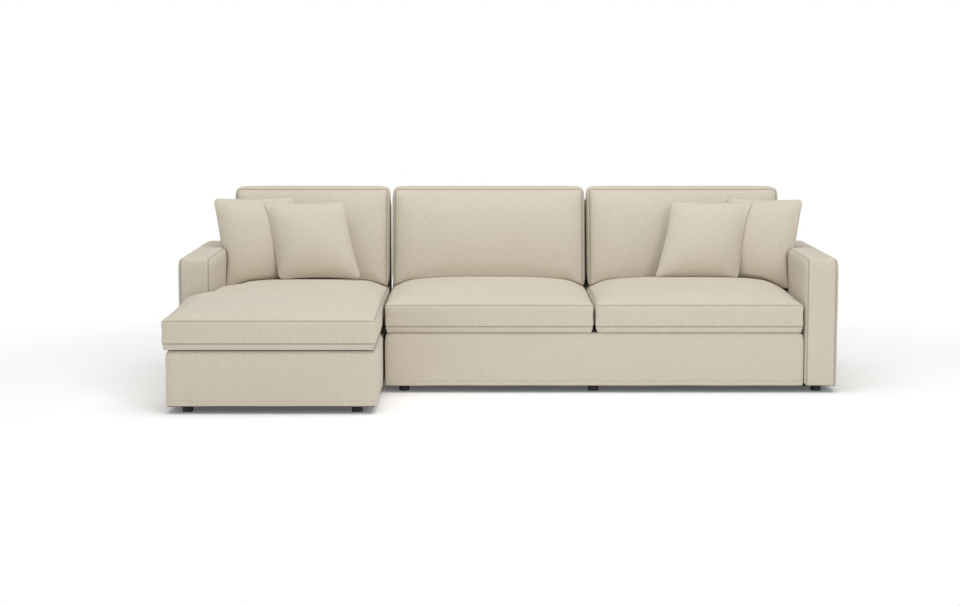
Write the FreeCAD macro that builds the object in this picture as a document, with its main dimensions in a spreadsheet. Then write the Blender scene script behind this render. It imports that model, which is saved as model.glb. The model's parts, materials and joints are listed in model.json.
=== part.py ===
"""Sectional sofa with a chaise on its left side.

Two upholstered sections stand side by side on low block feet and hook together at the joint.
The left section is the chaise with the left arm, the right section seats two and has the right arm.
Loose seat cushions, back cushions and four throw pillows lie on them.

Frame: millimetres, +X to the sitter's left seen from the front (right in the front view),
+Y from the front to the back, +Z up. The origin is on the floor under the middle of the outline.
"""
import FreeCAD, Part
import Sketcher
import math
import os

doc = FreeCAD.newDocument("sectional_sofa")
sheet = doc.addObject("Spreadsheet::Sheet", "sizes")

# Driving dimensions in millimetres, with angles in degrees and counts as plain numbers
SIZES = (
    ("overall_width", 3150, "over the outer faces of both arms"),
    ("sofa_depth", 1077, "front of the arms to the rear"),
    ("chaise_depth", 1698, "front of the chaise cushion to the rear"),
    ("chaise_width", 975, "left arm's outer face to the chaise's right side"),
    ("section_gap", 10, "between the two sections"),
    ("arm_width", 164, "outer to inner face of an arm"),
    ("arm_height", 645, "floor to the top of an arm"),
    ("arm_edge_radius", 28, "rounding of the arms' edges"),
    ("base_height", 35, "floor to the lower edge of the covers"),
    ("deck_height", 288, "floor to the deck under the cushions"),
    ("base_edge_radius", 18, "rounding of the base covers' edges"),
    ("chaise_base_inset", 27, "chaise base behind the arm's outer face"),
    ("cushion_overhang", 6, "cushion fronts ahead of the base"),
    ("back_height", 860, "floor to the top of the fixed back"),
    ("back_low_depth", 159, "fixed back, front to rear at the deck"),
    ("back_high_depth", 77, "fixed back, front to rear at its top"),
    ("back_edge_radius", 14, "rounding of the fixed back's top edges"),
    ("cover_wall", 12, "upholstery fabric and the wadding behind it"),
    ("deck_cloth", 4, "cloth over the deck pad"),
    ("dust_cover_thickness", 2, "black cloth under the frame"),
    ("dust_cover_inset", 10, "dust cover inside the covers' outline"),
    ("board_thickness", 25, "all frame boards"),
    ("rail_height", 220, "height of the base rails"),
    ("panel_thickness", 3, "fibreboard panels of the arms"),
    ("foot_diameter", 50, "block foot"),
    ("foot_inset", 90, "foot centre behind a front or rear edge"),
    ("foot_block_height", 40, "block that takes a foot screw"),
    ("screw_diameter", 6, "shank of the wood screws"),
    ("screw_length", 42, "wood screw without its head"),
    ("screw_head_diameter", 12, "wood screw"),
    ("screw_head_height", 3, "wood screw"),
    ("screw_recess", 8, "depth of the recess for a screw in a foot"),
    ("screw_head_clearance", 1, "around a screw's head in its recess"),
    ("side_screw_length", 34, "wood screw of a joining bracket, without its head"),
    ("screw_clearance", 0.1, "around a screw's shank"),
    ("spring_wire", 4, "diameter of the zigzag spring wire"),
    ("sofa_spring_count", 10, "zigzag springs in the two-seat section"),
    ("chaise_spring_count", 4, "zigzag springs in the chaise"),
    ("sofa_spring_bends", 14, "half turns of a spring"),
    ("chaise_spring_bends", 24, "half turns of a chaise spring"),
    ("clip_width", 24, "spring clip, across the wire"),
    ("clip_depth", 16, "spring clip, along the rail's thickness"),
    ("clip_plate", 2, "sheet of a spring clip"),
    ("strap_width", 60, "back webbing"),
    ("strap_thickness", 2, "back webbing"),
    ("strap_count", 5, "straps across the back"),
    ("bracket_width", 60, "joining bracket, along the section's side"),
    ("bracket_plate", 2, "sheet of a joining bracket"),
    ("bracket_clearance", 0.3, "between tongue and pocket"),
    ("pocket_low", 130, "lower edge of a bracket's pocket above the floor"),
    ("pocket_high", 180, "upper edge of a bracket's pocket above the floor"),
    ("tongue_reach", 40, "tongue inside its pocket"),
    ("bracket_flange", 55, "screwed plate above or below the pocket"),
    ("bracket_setback", 200, "bracket centre behind the arm front, or ahead of the rear"),
    ("bracket_screw_pitch", 34, "between the two screws of a plate"),
    ("soft_gap", 0.3, "between soft pieces that rest on each other"),
    ("cushion_cover", 5, "cushion cover with its inner lining"),
    ("seat_side_gap", 4, "seat cushion to the arm or to half the joint"),
    ("seat_seam_low", 30, "lower seam above the deck"),
    ("seat_seam_high", 134, "upper seam above the deck"),
    ("seat_tuck", 14, "foot of the cushion behind its lower seam"),
    ("seat_tuck_bow", 3.5, "bulge of the strip under the lower seam"),
    ("seat_bulge", 3, "boxing ahead of its seams"),
    ("seat_roll", 34, "steep rise of the top above the upper seam"),
    ("seat_roll_depth", 60, "depth of that rise"),
    ("seat_crown", 44, "further rise to the middle of the top"),
    ("ear_overhang", 12, "chaise cushion's ear outside its base"),
    ("ear_arm_gap", 6, "chaise cushion's ear ahead of the arm"),
    ("back_cushion_top", 930, "floor to the top of the back cushions"),
    ("back_cushion_low", 198, "thickness of a back cushion at its foot"),
    ("back_cushion_high", 128, "thickness of a back cushion at its top"),
    ("back_cushion_roll", 22, "rounding beside the front seams"),
    ("back_cushion_crown", 34, "bulge of the front"),
    ("back_cushion_shoulder", 8, "drop of the top from its middle to its sides"),
    ("back_cushion_top_crown", 4, "bulge of the top between its seams"),
    ("back_side_gap", 4, "back cushion to the arm or to half the joint"),
    ("pillow_width", 418, "throw pillow"),
    ("pillow_height", 442, "throw pillow"),
    ("pillow_thickness", 150, "throw pillow in its middle"),
    ("pillow_draw", 14, "edges drawn in between the corners"),
    ("pillow_rim", 6, "thickness of a pillow's side edges"),
    ("pillow_cover", 3, "pillow cover"),
    ("pillow_lean", 22, "degrees that the pillows lean back"),
    ("outer_pillow_slump", 18, "sideways shift of an outer pillow's top towards its arm"),
    ("inner_pillow_slump", 58, "sideways shift of an inner pillow's top towards its arm"),
    ("pillow_press", 12, "depth that a pillow's foot is pressed flat"),
    ("pillow_forward", 302, "pillow's foot ahead of the fixed back"),
    ("outer_pillow_place", 200, "middle of an outer pillow's foot to its arm"),
    ("outer_pillow_turn", 20, "degrees that an outer pillow faces away from its arm"),
    ("left_inner_pillow_place", 455, "middle of the left inner pillow's foot to its arm"),
    ("right_inner_pillow_place", 436, "middle of the right inner pillow's foot to its arm"),
    ("inner_pillow_turn", 12, "degrees that an inner pillow faces away from its arm"),
)
for row, (alias, value, note) in enumerate(SIZES, start=1):
    sheet.set(f"A{row}", alias)
    sheet.set(f"B{row}", str(value))
    sheet.setAlias(f"B{row}", alias)
    sheet.set(f"C{row}", note)
doc.recompute()

# Places that pieces share, written as expressions on the sheet
RIGHT = "sizes.overall_width / 2"
LEFT = f"-({RIGHT})"
ARM_RIGHT = f"({RIGHT} - sizes.arm_width)"
ARM_LEFT = f"({LEFT} + sizes.arm_width)"
CHAISE_SIDE = f"({LEFT} + sizes.chaise_width)"
SOFA_SIDE = f"({CHAISE_SIDE} + sizes.section_gap)"
SEAT_JOINT = f"(({SOFA_SIDE} + {ARM_RIGHT}) / 2)"
CHAISE_BASE_LEFT = f"({LEFT} + sizes.chaise_base_inset)"
REAR = "(sizes.chaise_depth / 2)"
FRONT = f"({REAR} - sizes.sofa_depth)"
CUSHION_FRONT = f"({FRONT} - sizes.cushion_overhang)"
CHAISE_CUSHION_FRONT = f"(-{REAR})"
CHAISE_FRONT = f"({CHAISE_CUSHION_FRONT} + sizes.cushion_overhang)"
PANEL_REAR = f"({REAR} - sizes.cover_wall)"
BACK_LOW = f"({REAR} - sizes.back_low_depth)"
BACK_HIGH = f"({REAR} - sizes.back_high_depth)"
BASE = "sizes.base_height"
DECK = "sizes.deck_height"
RAIL_TOP = f"({BASE} + sizes.rail_height)"
WALL = "sizes.cover_wall"
BOARD = "sizes.board_thickness"
WIRE_LOW = f"({RAIL_TOP} + sizes.clip_plate)"
PAD_LOW = f"({WIRE_LOW} + sizes.spring_wire + sizes.soft_gap)"
PAD_HIGH = f"({DECK} - sizes.deck_cloth)"
POST_TOP = f"(sizes.back_height - {WALL} - {BOARD})"
# Margin by which a cutting outline runs past the face that it opens
PAST = "1"
# How near a place counts as lying on a face, in millimetres
NEAR = 0.5


def number(expression):
    """The value of an expression on the sheet."""
    result = sheet.evalExpression(expression)
    return float(getattr(result, "Value", result))


def size(alias):
    """One driving dimension."""
    return float(sheet.get(alias))


def vector(x, y, z):
    return FreeCAD.Vector(x, y, z)


def plus(place, amount):
    """A place moved by an amount, both expressions."""
    return f"({place} + {amount})"


def minus(place, amount):
    return f"({place} - {amount})"


def back_front(height):
    """Place of the fixed back's front face at a height, an expression."""
    rise = f"({height} - {DECK}) / (sizes.back_height - {DECK})"
    return f"({BACK_LOW} + ({BACK_HIGH} - {BACK_LOW}) * ({rise}))"


def board(name, x, y, z):
    """A rectangular board between two places along each axis."""
    piece = doc.addObject("Part::Box", name)
    piece.Label = name
    for prop, axis, (low, high) in (("Length", "x", x), ("Width", "y", y), ("Height", "z", z)):
        piece.setExpression(prop, f"({high}) - ({low})")
        piece.setExpression(f"Placement.Base.{axis}", low)
    return piece


def outline_sketch(body, name, role, corners):
    """A closed straight-sided outline whose corners are bound to expressions."""
    sketch = body.newObject("Sketcher::SketchObject", name)
    plane = next(item for item in body.Origin.OriginFeatures if item.Role == role)
    sketch.AttachmentSupport = [(plane, "")]
    sketch.MapMode = "FlatFace"
    spots = [vector(number(x), number(y), 0) for x, y in corners]
    for index, spot in enumerate(spots):
        following = spots[(index + 1) % len(spots)]
        sketch.addGeometry(Part.LineSegment(spot, following), False)
    for index, (x, y) in enumerate(corners):
        after = (index + 1) % len(corners)
        sketch.addConstraint(Sketcher.Constraint("Coincident", index, 2, after, 1))
        for kind, place, amount in (("DistanceX", x, spots[index].x), ("DistanceY", y, spots[index].y)):
            spot = sketch.addConstraint(Sketcher.Constraint(kind, -1, 1, index, 1, amount))
            sketch.setExpression(f"Constraints[{spot}]", place)
    return sketch


def extruded(name, role, corners, start, end):
    """A body padded from an outline on one of its origin planes, between two places."""
    body = doc.addObject("PartDesign::Body", name)
    body.Label = name
    axis = {"XY_Plane": "z", "YZ_Plane": "x"}[role]
    body.setExpression(f"Placement.Base.{axis}", start)
    sketch = outline_sketch(body, f"{name}_outline", role, corners)
    pad = body.newObject("PartDesign::Pad", f"{name}_pad")
    pad.Profile = sketch
    pad.setExpression("Length", f"({end}) - ({start})")
    doc.recompute()
    return body


def rounded(body, radius, chosen):
    """Round the body's edges for which chosen(middle, direction) holds."""
    base = body.Tip
    names = []
    for index, edge in enumerate(base.Shape.Edges, start=1):
        first, last = edge.firstVertex().Point, edge.lastVertex().Point
        middle = body.Placement.multVec((first + last) * 0.5)
        if chosen(middle, (last - first).normalize()):
            names.append(f"Edge{index}")
    fillet = body.newObject("PartDesign::Fillet", f"{body.Name}_rounding")
    fillet.Base = (base, names)
    fillet.setExpression("Radius", radius)
    doc.recompute()
    return body


def hollowed(body, corners, depth):
    """Pocket the body upwards from its underside to a depth."""
    before = body.Shape.Volume
    sketch = outline_sketch(body, f"{body.Name}_hollow_{len(body.Group)}", "XY_Plane", corners)
    pocket = body.newObject("PartDesign::Pocket", f"{body.Name}_pocket_{len(body.Group)}")
    pocket.Profile = sketch
    pocket.Reversed = True
    pocket.setExpression("Length", depth)
    doc.recompute()
    if body.Shape.Volume >= before:
        raise RuntimeError(f"{body.Name}: the pocket cuts nothing")
    return body


def cut(name, base, tool):
    """The base piece with the tool's shape taken away, under the piece's final name."""
    piece = doc.addObject("Part::Cut", name)
    piece.Label = name
    piece.Base = base
    piece.Tool = tool
    return piece


def formed(name, shape, place=None):
    """A piece whose shape is worked out here from the sheet."""
    piece = doc.addObject("Part::Feature", name)
    piece.Label = name
    piece.Shape = shape
    piece.Placement = place or FreeCAD.Placement()
    return piece


def group(name, shapes):
    """Separate solids kept together under one name."""
    return formed(name, Part.makeCompound(shapes))


def box_shape(x, y, z):
    """A box between two numbers along each axis."""
    low = vector(x[0], y[0], z[0])
    return Part.makeBox(x[1] - x[0], y[1] - y[0], z[1] - z[0], low)


def between(first, last, count):
    """Evenly spread places, with half a step left at both ends."""
    step = (last - first) / count
    return [first + (index + 0.5) * step for index in range(count)]


def rectangle(x, y):
    """Corners of a rectangle between two places along each sketch axis."""
    return ((x[0], y[0]), (x[1], y[0]), (x[1], y[1]), (x[0], y[1]))


# Block feet, the screws that hold them and the blocks above them

def foot_places(section):
    """Centres of a section's feet, as numbers."""
    inset = size("foot_inset")
    rear = number(REAR) - inset
    front = number(FRONT) + inset
    if section == "sofa":
        left = number(SOFA_SIDE) + inset
        middle = number(SEAT_JOINT)
        right = number(RIGHT) - inset
        return [(x, y) for x in (left, middle, right) for y in (front, rear)]
    left = number(LEFT) + inset
    right = number(CHAISE_SIDE) - inset
    base_left = number(CHAISE_BASE_LEFT) + inset
    chaise_front = number(CHAISE_FRONT) + inset
    return [(left, rear), (right, rear), (right, front), (left, front), (right, chaise_front),
            (base_left, chaise_front)]


def upright_screw(x, y):
    """A screw that goes up through a foot."""
    head_low = size("screw_recess") - size("screw_head_height")
    head_radius = size("screw_head_diameter") / 2
    head = Part.makeCylinder(head_radius, size("screw_head_height"), vector(x, y, head_low))
    shank_foot = vector(x, y, size("screw_recess"))
    shank = Part.makeCylinder(size("screw_diameter") / 2, size("screw_length"), shank_foot)
    return head.fuse(shank).removeSplitter()


def screw_bore(x, y):
    """The hole for an upright screw's shank."""
    radius = size("screw_diameter") / 2 + size("screw_clearance")
    length = size("screw_length") + size("screw_clearance")
    return Part.makeCylinder(radius, length, vector(x, y, size("screw_recess")))


def foot(x, y):
    """A round block foot with a recess and a bore for its screw."""
    height = number(f"{BASE} - sizes.dust_cover_thickness")
    block = Part.makeCylinder(size("foot_diameter") / 2, height, vector(x, y, 0))
    recess_radius = size("screw_head_diameter") / 2 + size("screw_head_clearance")
    recess = Part.makeCylinder(recess_radius, size("screw_recess"), vector(x, y, 0))
    return block.cut(recess).cut(screw_bore(x, y))


def foot_block(x, y):
    """The wooden block above a foot, which fills the corner of the rails and takes the foot's screw."""
    half = number(f"sizes.foot_inset - {WALL} - {BOARD}")
    low = number(BASE)
    block = box_shape((x - half, x + half), (y - half, y + half), (low, low + size("foot_block_height")))
    return block.cut(screw_bore(x, y))


# Brackets that join the sections: a tongue on the chaise drops into a pocket on the sofa

def bracket_places():
    setback = size("bracket_setback")
    return (number(FRONT) + setback, number(REAR) - setback)


def bracket_span(y):
    half = size("bracket_width") / 2
    return (y - half, y + half)


def side_screw(x, y, z, way):
    """A screw along X whose head lies against a plate at x; way is the shank's direction."""
    axis = vector(way, 0, 0)
    head_base = vector(x - way * size("screw_head_height"), y, z)
    head_radius = size("screw_head_diameter") / 2
    head = Part.makeCylinder(head_radius, size("screw_head_height"), head_base, axis)
    shank_radius = size("screw_diameter") / 2
    shank = Part.makeCylinder(shank_radius, size("side_screw_length"), vector(x, y, z), axis)
    return head.fuse(shank).removeSplitter()


def side_bore(x, y, z, way):
    radius = size("screw_diameter") / 2 + size("screw_clearance")
    length = size("side_screw_length") + size("screw_clearance")
    return Part.makeCylinder(radius, length, vector(x, y, z), vector(way, 0, 0))


def side_screw_places(z):
    """Places of a bracket plate's two screws, for both brackets."""
    half = size("bracket_screw_pitch") / 2
    return [(y + offset, z) for y in bracket_places() for offset in (-half, half)]


PLATE = size("bracket_plate")
SOCKET_SCREW_HEIGHT = size("pocket_low") - size("bracket_flange") / 2
HOOK_LOW = size("pocket_high") + size("bracket_clearance")
HOOK_SCREW_HEIGHT = HOOK_LOW + PLATE + size("bracket_flange") / 2
SOCKET_FACE = number(SOFA_SIDE) - PLATE
HOOK_FACE = number(CHAISE_SIDE) + PLATE


def socket_bracket(y):
    """A plate on the sofa's side with a pocket that is open at its top."""
    low, high = size("pocket_low"), size("pocket_high")
    slot = PLATE + 2 * size("bracket_clearance")
    span = bracket_span(y)
    plate = box_shape((SOCKET_FACE, number(SOFA_SIDE)), span, (low - size("bracket_flange"), high))
    lip = box_shape((SOCKET_FACE - slot - PLATE, SOCKET_FACE - slot), span, (low, high))
    floor = box_shape((SOCKET_FACE - slot, SOCKET_FACE), span, (low, low + PLATE))
    shape = plate.fuse([lip, floor]).removeSplitter()
    for place, height in side_screw_places(SOCKET_SCREW_HEIGHT):
        shape = shape.cut(side_bore(SOCKET_FACE, place, height, 1))
    return shape


def hook_bracket(y):
    """A plate on the chaise's side with a tongue that hangs in the sofa's pocket."""
    span = bracket_span(y)
    tongue_face = SOCKET_FACE - size("bracket_clearance")
    plate_z = (HOOK_LOW, HOOK_LOW + PLATE + size("bracket_flange"))
    plate = box_shape((number(CHAISE_SIDE), HOOK_FACE), span, plate_z)
    step = box_shape((HOOK_FACE, tongue_face), span, (HOOK_LOW, HOOK_LOW + PLATE))
    tongue_z = (size("pocket_high") - size("tongue_reach"), HOOK_LOW)
    tongue = box_shape((tongue_face - PLATE, tongue_face), span, tongue_z)
    shape = plate.fuse([step, tongue]).removeSplitter()
    for place, height in side_screw_places(HOOK_SCREW_HEIGHT):
        shape = shape.cut(side_bore(HOOK_FACE, place, height, -1))
    return shape


# Zigzag springs with their clips

def zigzag_spring(x, y_front, y_rear, bends):
    """A wire of half turns that runs from the front rail to the spring rail."""
    radius = (y_rear - y_front) / bends / 2
    height = number(WIRE_LOW) + size("spring_wire") / 2
    edges = []
    for index in range(int(bends)):
        start = y_front + 2 * radius * index
        side = radius if index % 2 else -radius
        middle = vector(x + side, start + radius, height)
        arc = Part.Arc(vector(x, start, height), middle, vector(x, start + 2 * radius, height))
        edges.append(arc.toShape())
    path = Part.Wire(edges)
    ring = Part.makeCircle(size("spring_wire") / 2, vector(x, y_front, height), vector(1, 0, 0))
    return path.makePipeShell([Part.Wire([ring])], True, False)


def spring_clip(x, y):
    """A bent clip: a plate on the rail whose front and rear edges turn up beside the wire's end."""
    plate = size("clip_plate")
    low = number(RAIL_TOP)
    wire = size("spring_wire")
    half_width = size("clip_width") / 2
    half_depth = size("clip_depth") / 2
    outer = box_shape((x - half_width, x + half_width), (y - half_depth, y + half_depth), (low, low + plate))
    edges = []
    for edge_low in (y - half_depth, y + half_depth - plate):
        edge_y = (edge_low, edge_low + plate)
        edges.append(box_shape((x - half_width, x + half_width), edge_y, (low, low + plate + wire / 2)))
    return outer.fuse(edges).removeSplitter()


def spring_places(section):
    """Places of a section's springs across its width."""
    board_wall = number(f"{WALL} + {BOARD}")
    left, right = (SOFA_SIDE, ARM_RIGHT) if section == "sofa" else (ARM_LEFT, CHAISE_SIDE)
    count = int(size(f"{section}_spring_count"))
    return between(number(left) + board_wall, number(right) - board_wall, count)


# Cushion and pillow forms

STATION_COUNT = 11
CROWN_POWER = 0.72
LEAST_CROWN = 0.04


def arc_edge(first, through, last):
    return Part.Arc(vector(*first), vector(*through), vector(*last)).toShape()


def line_edge(first, last):
    return Part.makeLine(vector(*first), vector(*last))


def bowed_edge(first, last, rise):
    """An arc in a plane across X that stands off its chord, to the left of its way."""
    way = (vector(*last) - vector(*first)).normalize()
    middle = (vector(*first) + vector(*last)) * 0.5 + vector(0, -way.z, way.y) * rise
    return arc_edge(first, tuple(middle), last)


def stations(low, high):
    """Places across a cushion with the share of its full crown there, even steps on a rounded oblong."""
    middle, half = (low + high) / 2, (high - low) / 2
    places = []
    for index in range(STATION_COUNT):
        angle = math.pi * index / (STATION_COUNT - 1)
        reach = math.copysign(abs(math.cos(angle)) ** CROWN_POWER, math.cos(angle))
        full = max(abs(math.sin(angle)) ** CROWN_POWER, LEAST_CROWN)
        places.append((middle - half * reach, full))
    return places


def seat_section(x, full, front, rear, inset):
    """Side view of a seat cushion at one place across it."""
    low = number(DECK) + size("soft_gap") + inset
    seam_low = number(DECK) + size("seat_seam_low")
    seam_high = number(DECK) + size("seat_seam_high")
    tuck = size("seat_tuck")
    roll = size("seat_roll") * full
    roll_depth = size("seat_roll_depth")
    edge_top = seam_high + roll - inset
    lean = roll_depth * (1 - math.sqrt(0.5))
    lift = roll * math.sqrt(0.5) - inset
    bulge = size("seat_bulge")
    tuck_bow = size("seat_tuck_bow")
    front = front + bulge + inset
    rear = rear - inset
    front_seam = (x, front, seam_high - inset)
    front_edge = (x, front + roll_depth, edge_top)
    rear_seam = (x, rear, seam_high - inset)
    rear_edge = (x, rear - roll_depth, edge_top)
    return Part.Wire([
        bowed_edge((x, front + tuck, low), (x, front, seam_low), tuck_bow),
        bowed_edge((x, front, seam_low), front_seam, bulge),
        arc_edge(front_seam, (x, front + lean, seam_high + lift), front_edge),
        bowed_edge(front_edge, rear_edge, size("seat_crown") * full),
        arc_edge(rear_edge, (x, rear - lean, seam_high + lift), rear_seam),
        line_edge(rear_seam, (x, rear, seam_low)),
        bowed_edge((x, rear, seam_low), (x, rear - tuck, low), tuck_bow),
        line_edge((x, rear - tuck, low), (x, front + tuck, low)),
    ])


def seat_form(x, front, rear, inset=0.0):
    """A boxed seat cushion with a crowned top; inset gives the core's form."""
    places = stations(x[0] + inset, x[1] - inset)
    sections = [seat_section(place, full, front, rear, inset) for place, full in places]
    return Part.makeLoft(sections, True, False)


def back_section(x, full, inset):
    """Side view of a back cushion at one place across it, leaning on the fixed back."""
    foot_z = number(DECK) + size("seat_seam_high") + inset
    top_z = size("back_cushion_top") - size("back_cushion_shoulder") * (1 - full) - inset
    roll = size("back_cushion_roll")
    gap = size("soft_gap") + inset

    def rear_at(height):
        return number(back_front(str(height))) - gap

    def front_at(height):
        share = (height - foot_z) / (top_z - foot_z)
        thickness = size("back_cushion_low") * (1 - share) + size("back_cushion_high") * share
        return number(back_front(str(height))) - size("soft_gap") - thickness + inset

    crown = size("back_cushion_crown") * full
    middle_z = (foot_z + top_z) / 2
    lean = roll * (1 - math.sqrt(0.5))
    low_seam = (x, front_at(foot_z + roll), foot_z + roll)
    high_seam = (x, front_at(top_z - roll), top_z - roll)
    foot_front = (x, front_at(foot_z) + roll, foot_z)
    foot_rear = (x, rear_at(foot_z), foot_z)
    top_front = (x, front_at(top_z) + roll, top_z)
    top_rear = (x, rear_at(top_z) - roll / 2, top_z)
    rear_edge = (x, rear_at(top_z - roll / 2), top_z - roll / 2)
    return Part.Wire([
        line_edge(foot_rear, foot_front),
        arc_edge(foot_front, (x, front_at(foot_z) + lean, foot_z + lean), low_seam),
        arc_edge(low_seam, (x, front_at(middle_z) - crown, middle_z), high_seam),
        arc_edge(high_seam, (x, front_at(top_z) + lean, top_z - lean), top_front),
        bowed_edge(top_front, top_rear, size("back_cushion_top_crown") * full),
        line_edge(top_rear, rear_edge),
        line_edge(rear_edge, foot_rear),
    ])


def back_form(x, inset=0.0):
    """A boxed back cushion with a crowned front; inset gives the fill's form."""
    places = stations(x[0] + inset, x[1] - inset)
    sections = [back_section(place, full, inset) for place, full in places]
    return Part.makeLoft(sections, True, False)


PILLOW_SHARES = (-1, -0.9, -0.65, -0.3, 0, 0.3, 0.65, 0.9, 1)
PILLOW_SWELL_POWER = 2.4


def pillow_form(slump, inset=0.0):
    """A pillow in its own frame: width along X, thickness along Y, foot at Z 0, slumped to a side."""
    half_width = size("pillow_width") / 2 - inset
    half_height = size("pillow_height") / 2 - inset
    centre = size("pillow_height") / 2
    thickness = size("pillow_thickness") / 2 - inset
    rim = size("pillow_rim") / 2
    sections = []
    for share in PILLOW_SHARES:
        x = share * half_width
        drawn = size("pillow_draw") * (1 - share ** 2)
        reach = half_height - drawn
        swell = rim + (thickness - rim) * math.sqrt(1 - abs(share) ** PILLOW_SWELL_POWER)
        shift = slump * reach
        low, high = (x - shift, 0, centre - reach), (x + shift, 0, centre + reach)
        sections.append(Part.Wire([
            arc_edge(low, (x, -swell, centre), high),
            arc_edge(high, (x, swell, centre), low),
        ]))
    return Part.makeLoft(sections, True, False)


def pillow_place(x, y, z, turn, lean):
    """Where a pillow stands: foot centre, turn about Z and lean backwards."""
    rotation = FreeCAD.Rotation(vector(0, 0, 1), turn).multiply(FreeCAD.Rotation(vector(1, 0, 0), -lean))
    return FreeCAD.Placement(vector(x, y, z), rotation)


def clear_of(shape, neighbours, extra=0.0):
    """The shape cut back from soft neighbours, each given with the direction to keep clear."""
    for neighbour, way in neighbours:
        moved = neighbour.copy()
        moved.translate(vector(*way).normalize() * (size("soft_gap") + extra))
        shape = shape.cut(moved)
    solids = sorted(shape.Solids, key=lambda solid: solid.Volume)
    return solids[-1]


def covered(name, fill_name, outer, inner, place=None):
    """A cover shell and the fill inside it, from their two forms."""
    local = place.inverse().toMatrix() if place else FreeCAD.Matrix()
    cover = outer.cut(inner)
    pieces = []
    for label, shape in ((name, cover), (fill_name, inner)):
        pieces.append(formed(label, shape.transformed(local, True), place))
    return pieces


# Base frame and covers of the two-seat section

SOFA_IN_LEFT = plus(SOFA_SIDE, WALL)
SOFA_IN_RIGHT = minus(ARM_RIGHT, WALL)
SOFA_IN_FRONT = plus(FRONT, WALL)
RAIL_Z = (BASE, RAIL_TOP)
SPRING_RAIL_Y = (minus(BACK_LOW, BOARD), BACK_LOW)
REAR_RAIL_Y = (minus(PANEL_REAR, BOARD), PANEL_REAR)

sofa_screw_shapes = [upright_screw(x, y) for x, y in foot_places("sofa")]
sofa_screw_shapes += [side_screw(SOCKET_FACE, y, z, 1) for y, z in side_screw_places(SOCKET_SCREW_HEIGHT)]
sofa_bores = group("sofa_screw_bores", [screw_bore(x, y) for x, y in foot_places("sofa")]
                   + [side_bore(SOCKET_FACE, y, z, 1) for y, z in side_screw_places(SOCKET_SCREW_HEIGHT)])
chaise_screw_shapes = [upright_screw(x, y) for x, y in foot_places("chaise")]
chaise_screw_shapes += [side_screw(HOOK_FACE, y, z, -1) for y, z in side_screw_places(HOOK_SCREW_HEIGHT)]
chaise_bores = group("chaise_screw_bores", [screw_bore(x, y) for x, y in foot_places("chaise")]
                     + [side_bore(HOOK_FACE, y, z, -1) for y, z in side_screw_places(HOOK_SCREW_HEIGHT)])

PIECES = []


def keep(*pieces):
    """Note pieces that are written out."""
    PIECES.extend(pieces)


def front_and_side_edges(left_face, right_face, front_face):
    """Chooser of a base cover's front edges and the top edges of its sides."""
    left, right, front = number(left_face), number(right_face), number(front_face)
    top, side_rear = number(DECK), number(BACK_LOW)

    def chosen(middle, direction):
        at_front = abs(middle.y - front) < NEAR and left - NEAR < middle.x < right + NEAR
        on_top = abs(middle.z - top) < NEAR
        at_side = min(abs(middle.x - left), abs(middle.x - right)) < NEAR
        side_edge = on_top and at_side and abs(direction.y) > 0.9 and middle.y < side_rear
        return at_front or side_edge

    return chosen


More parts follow.
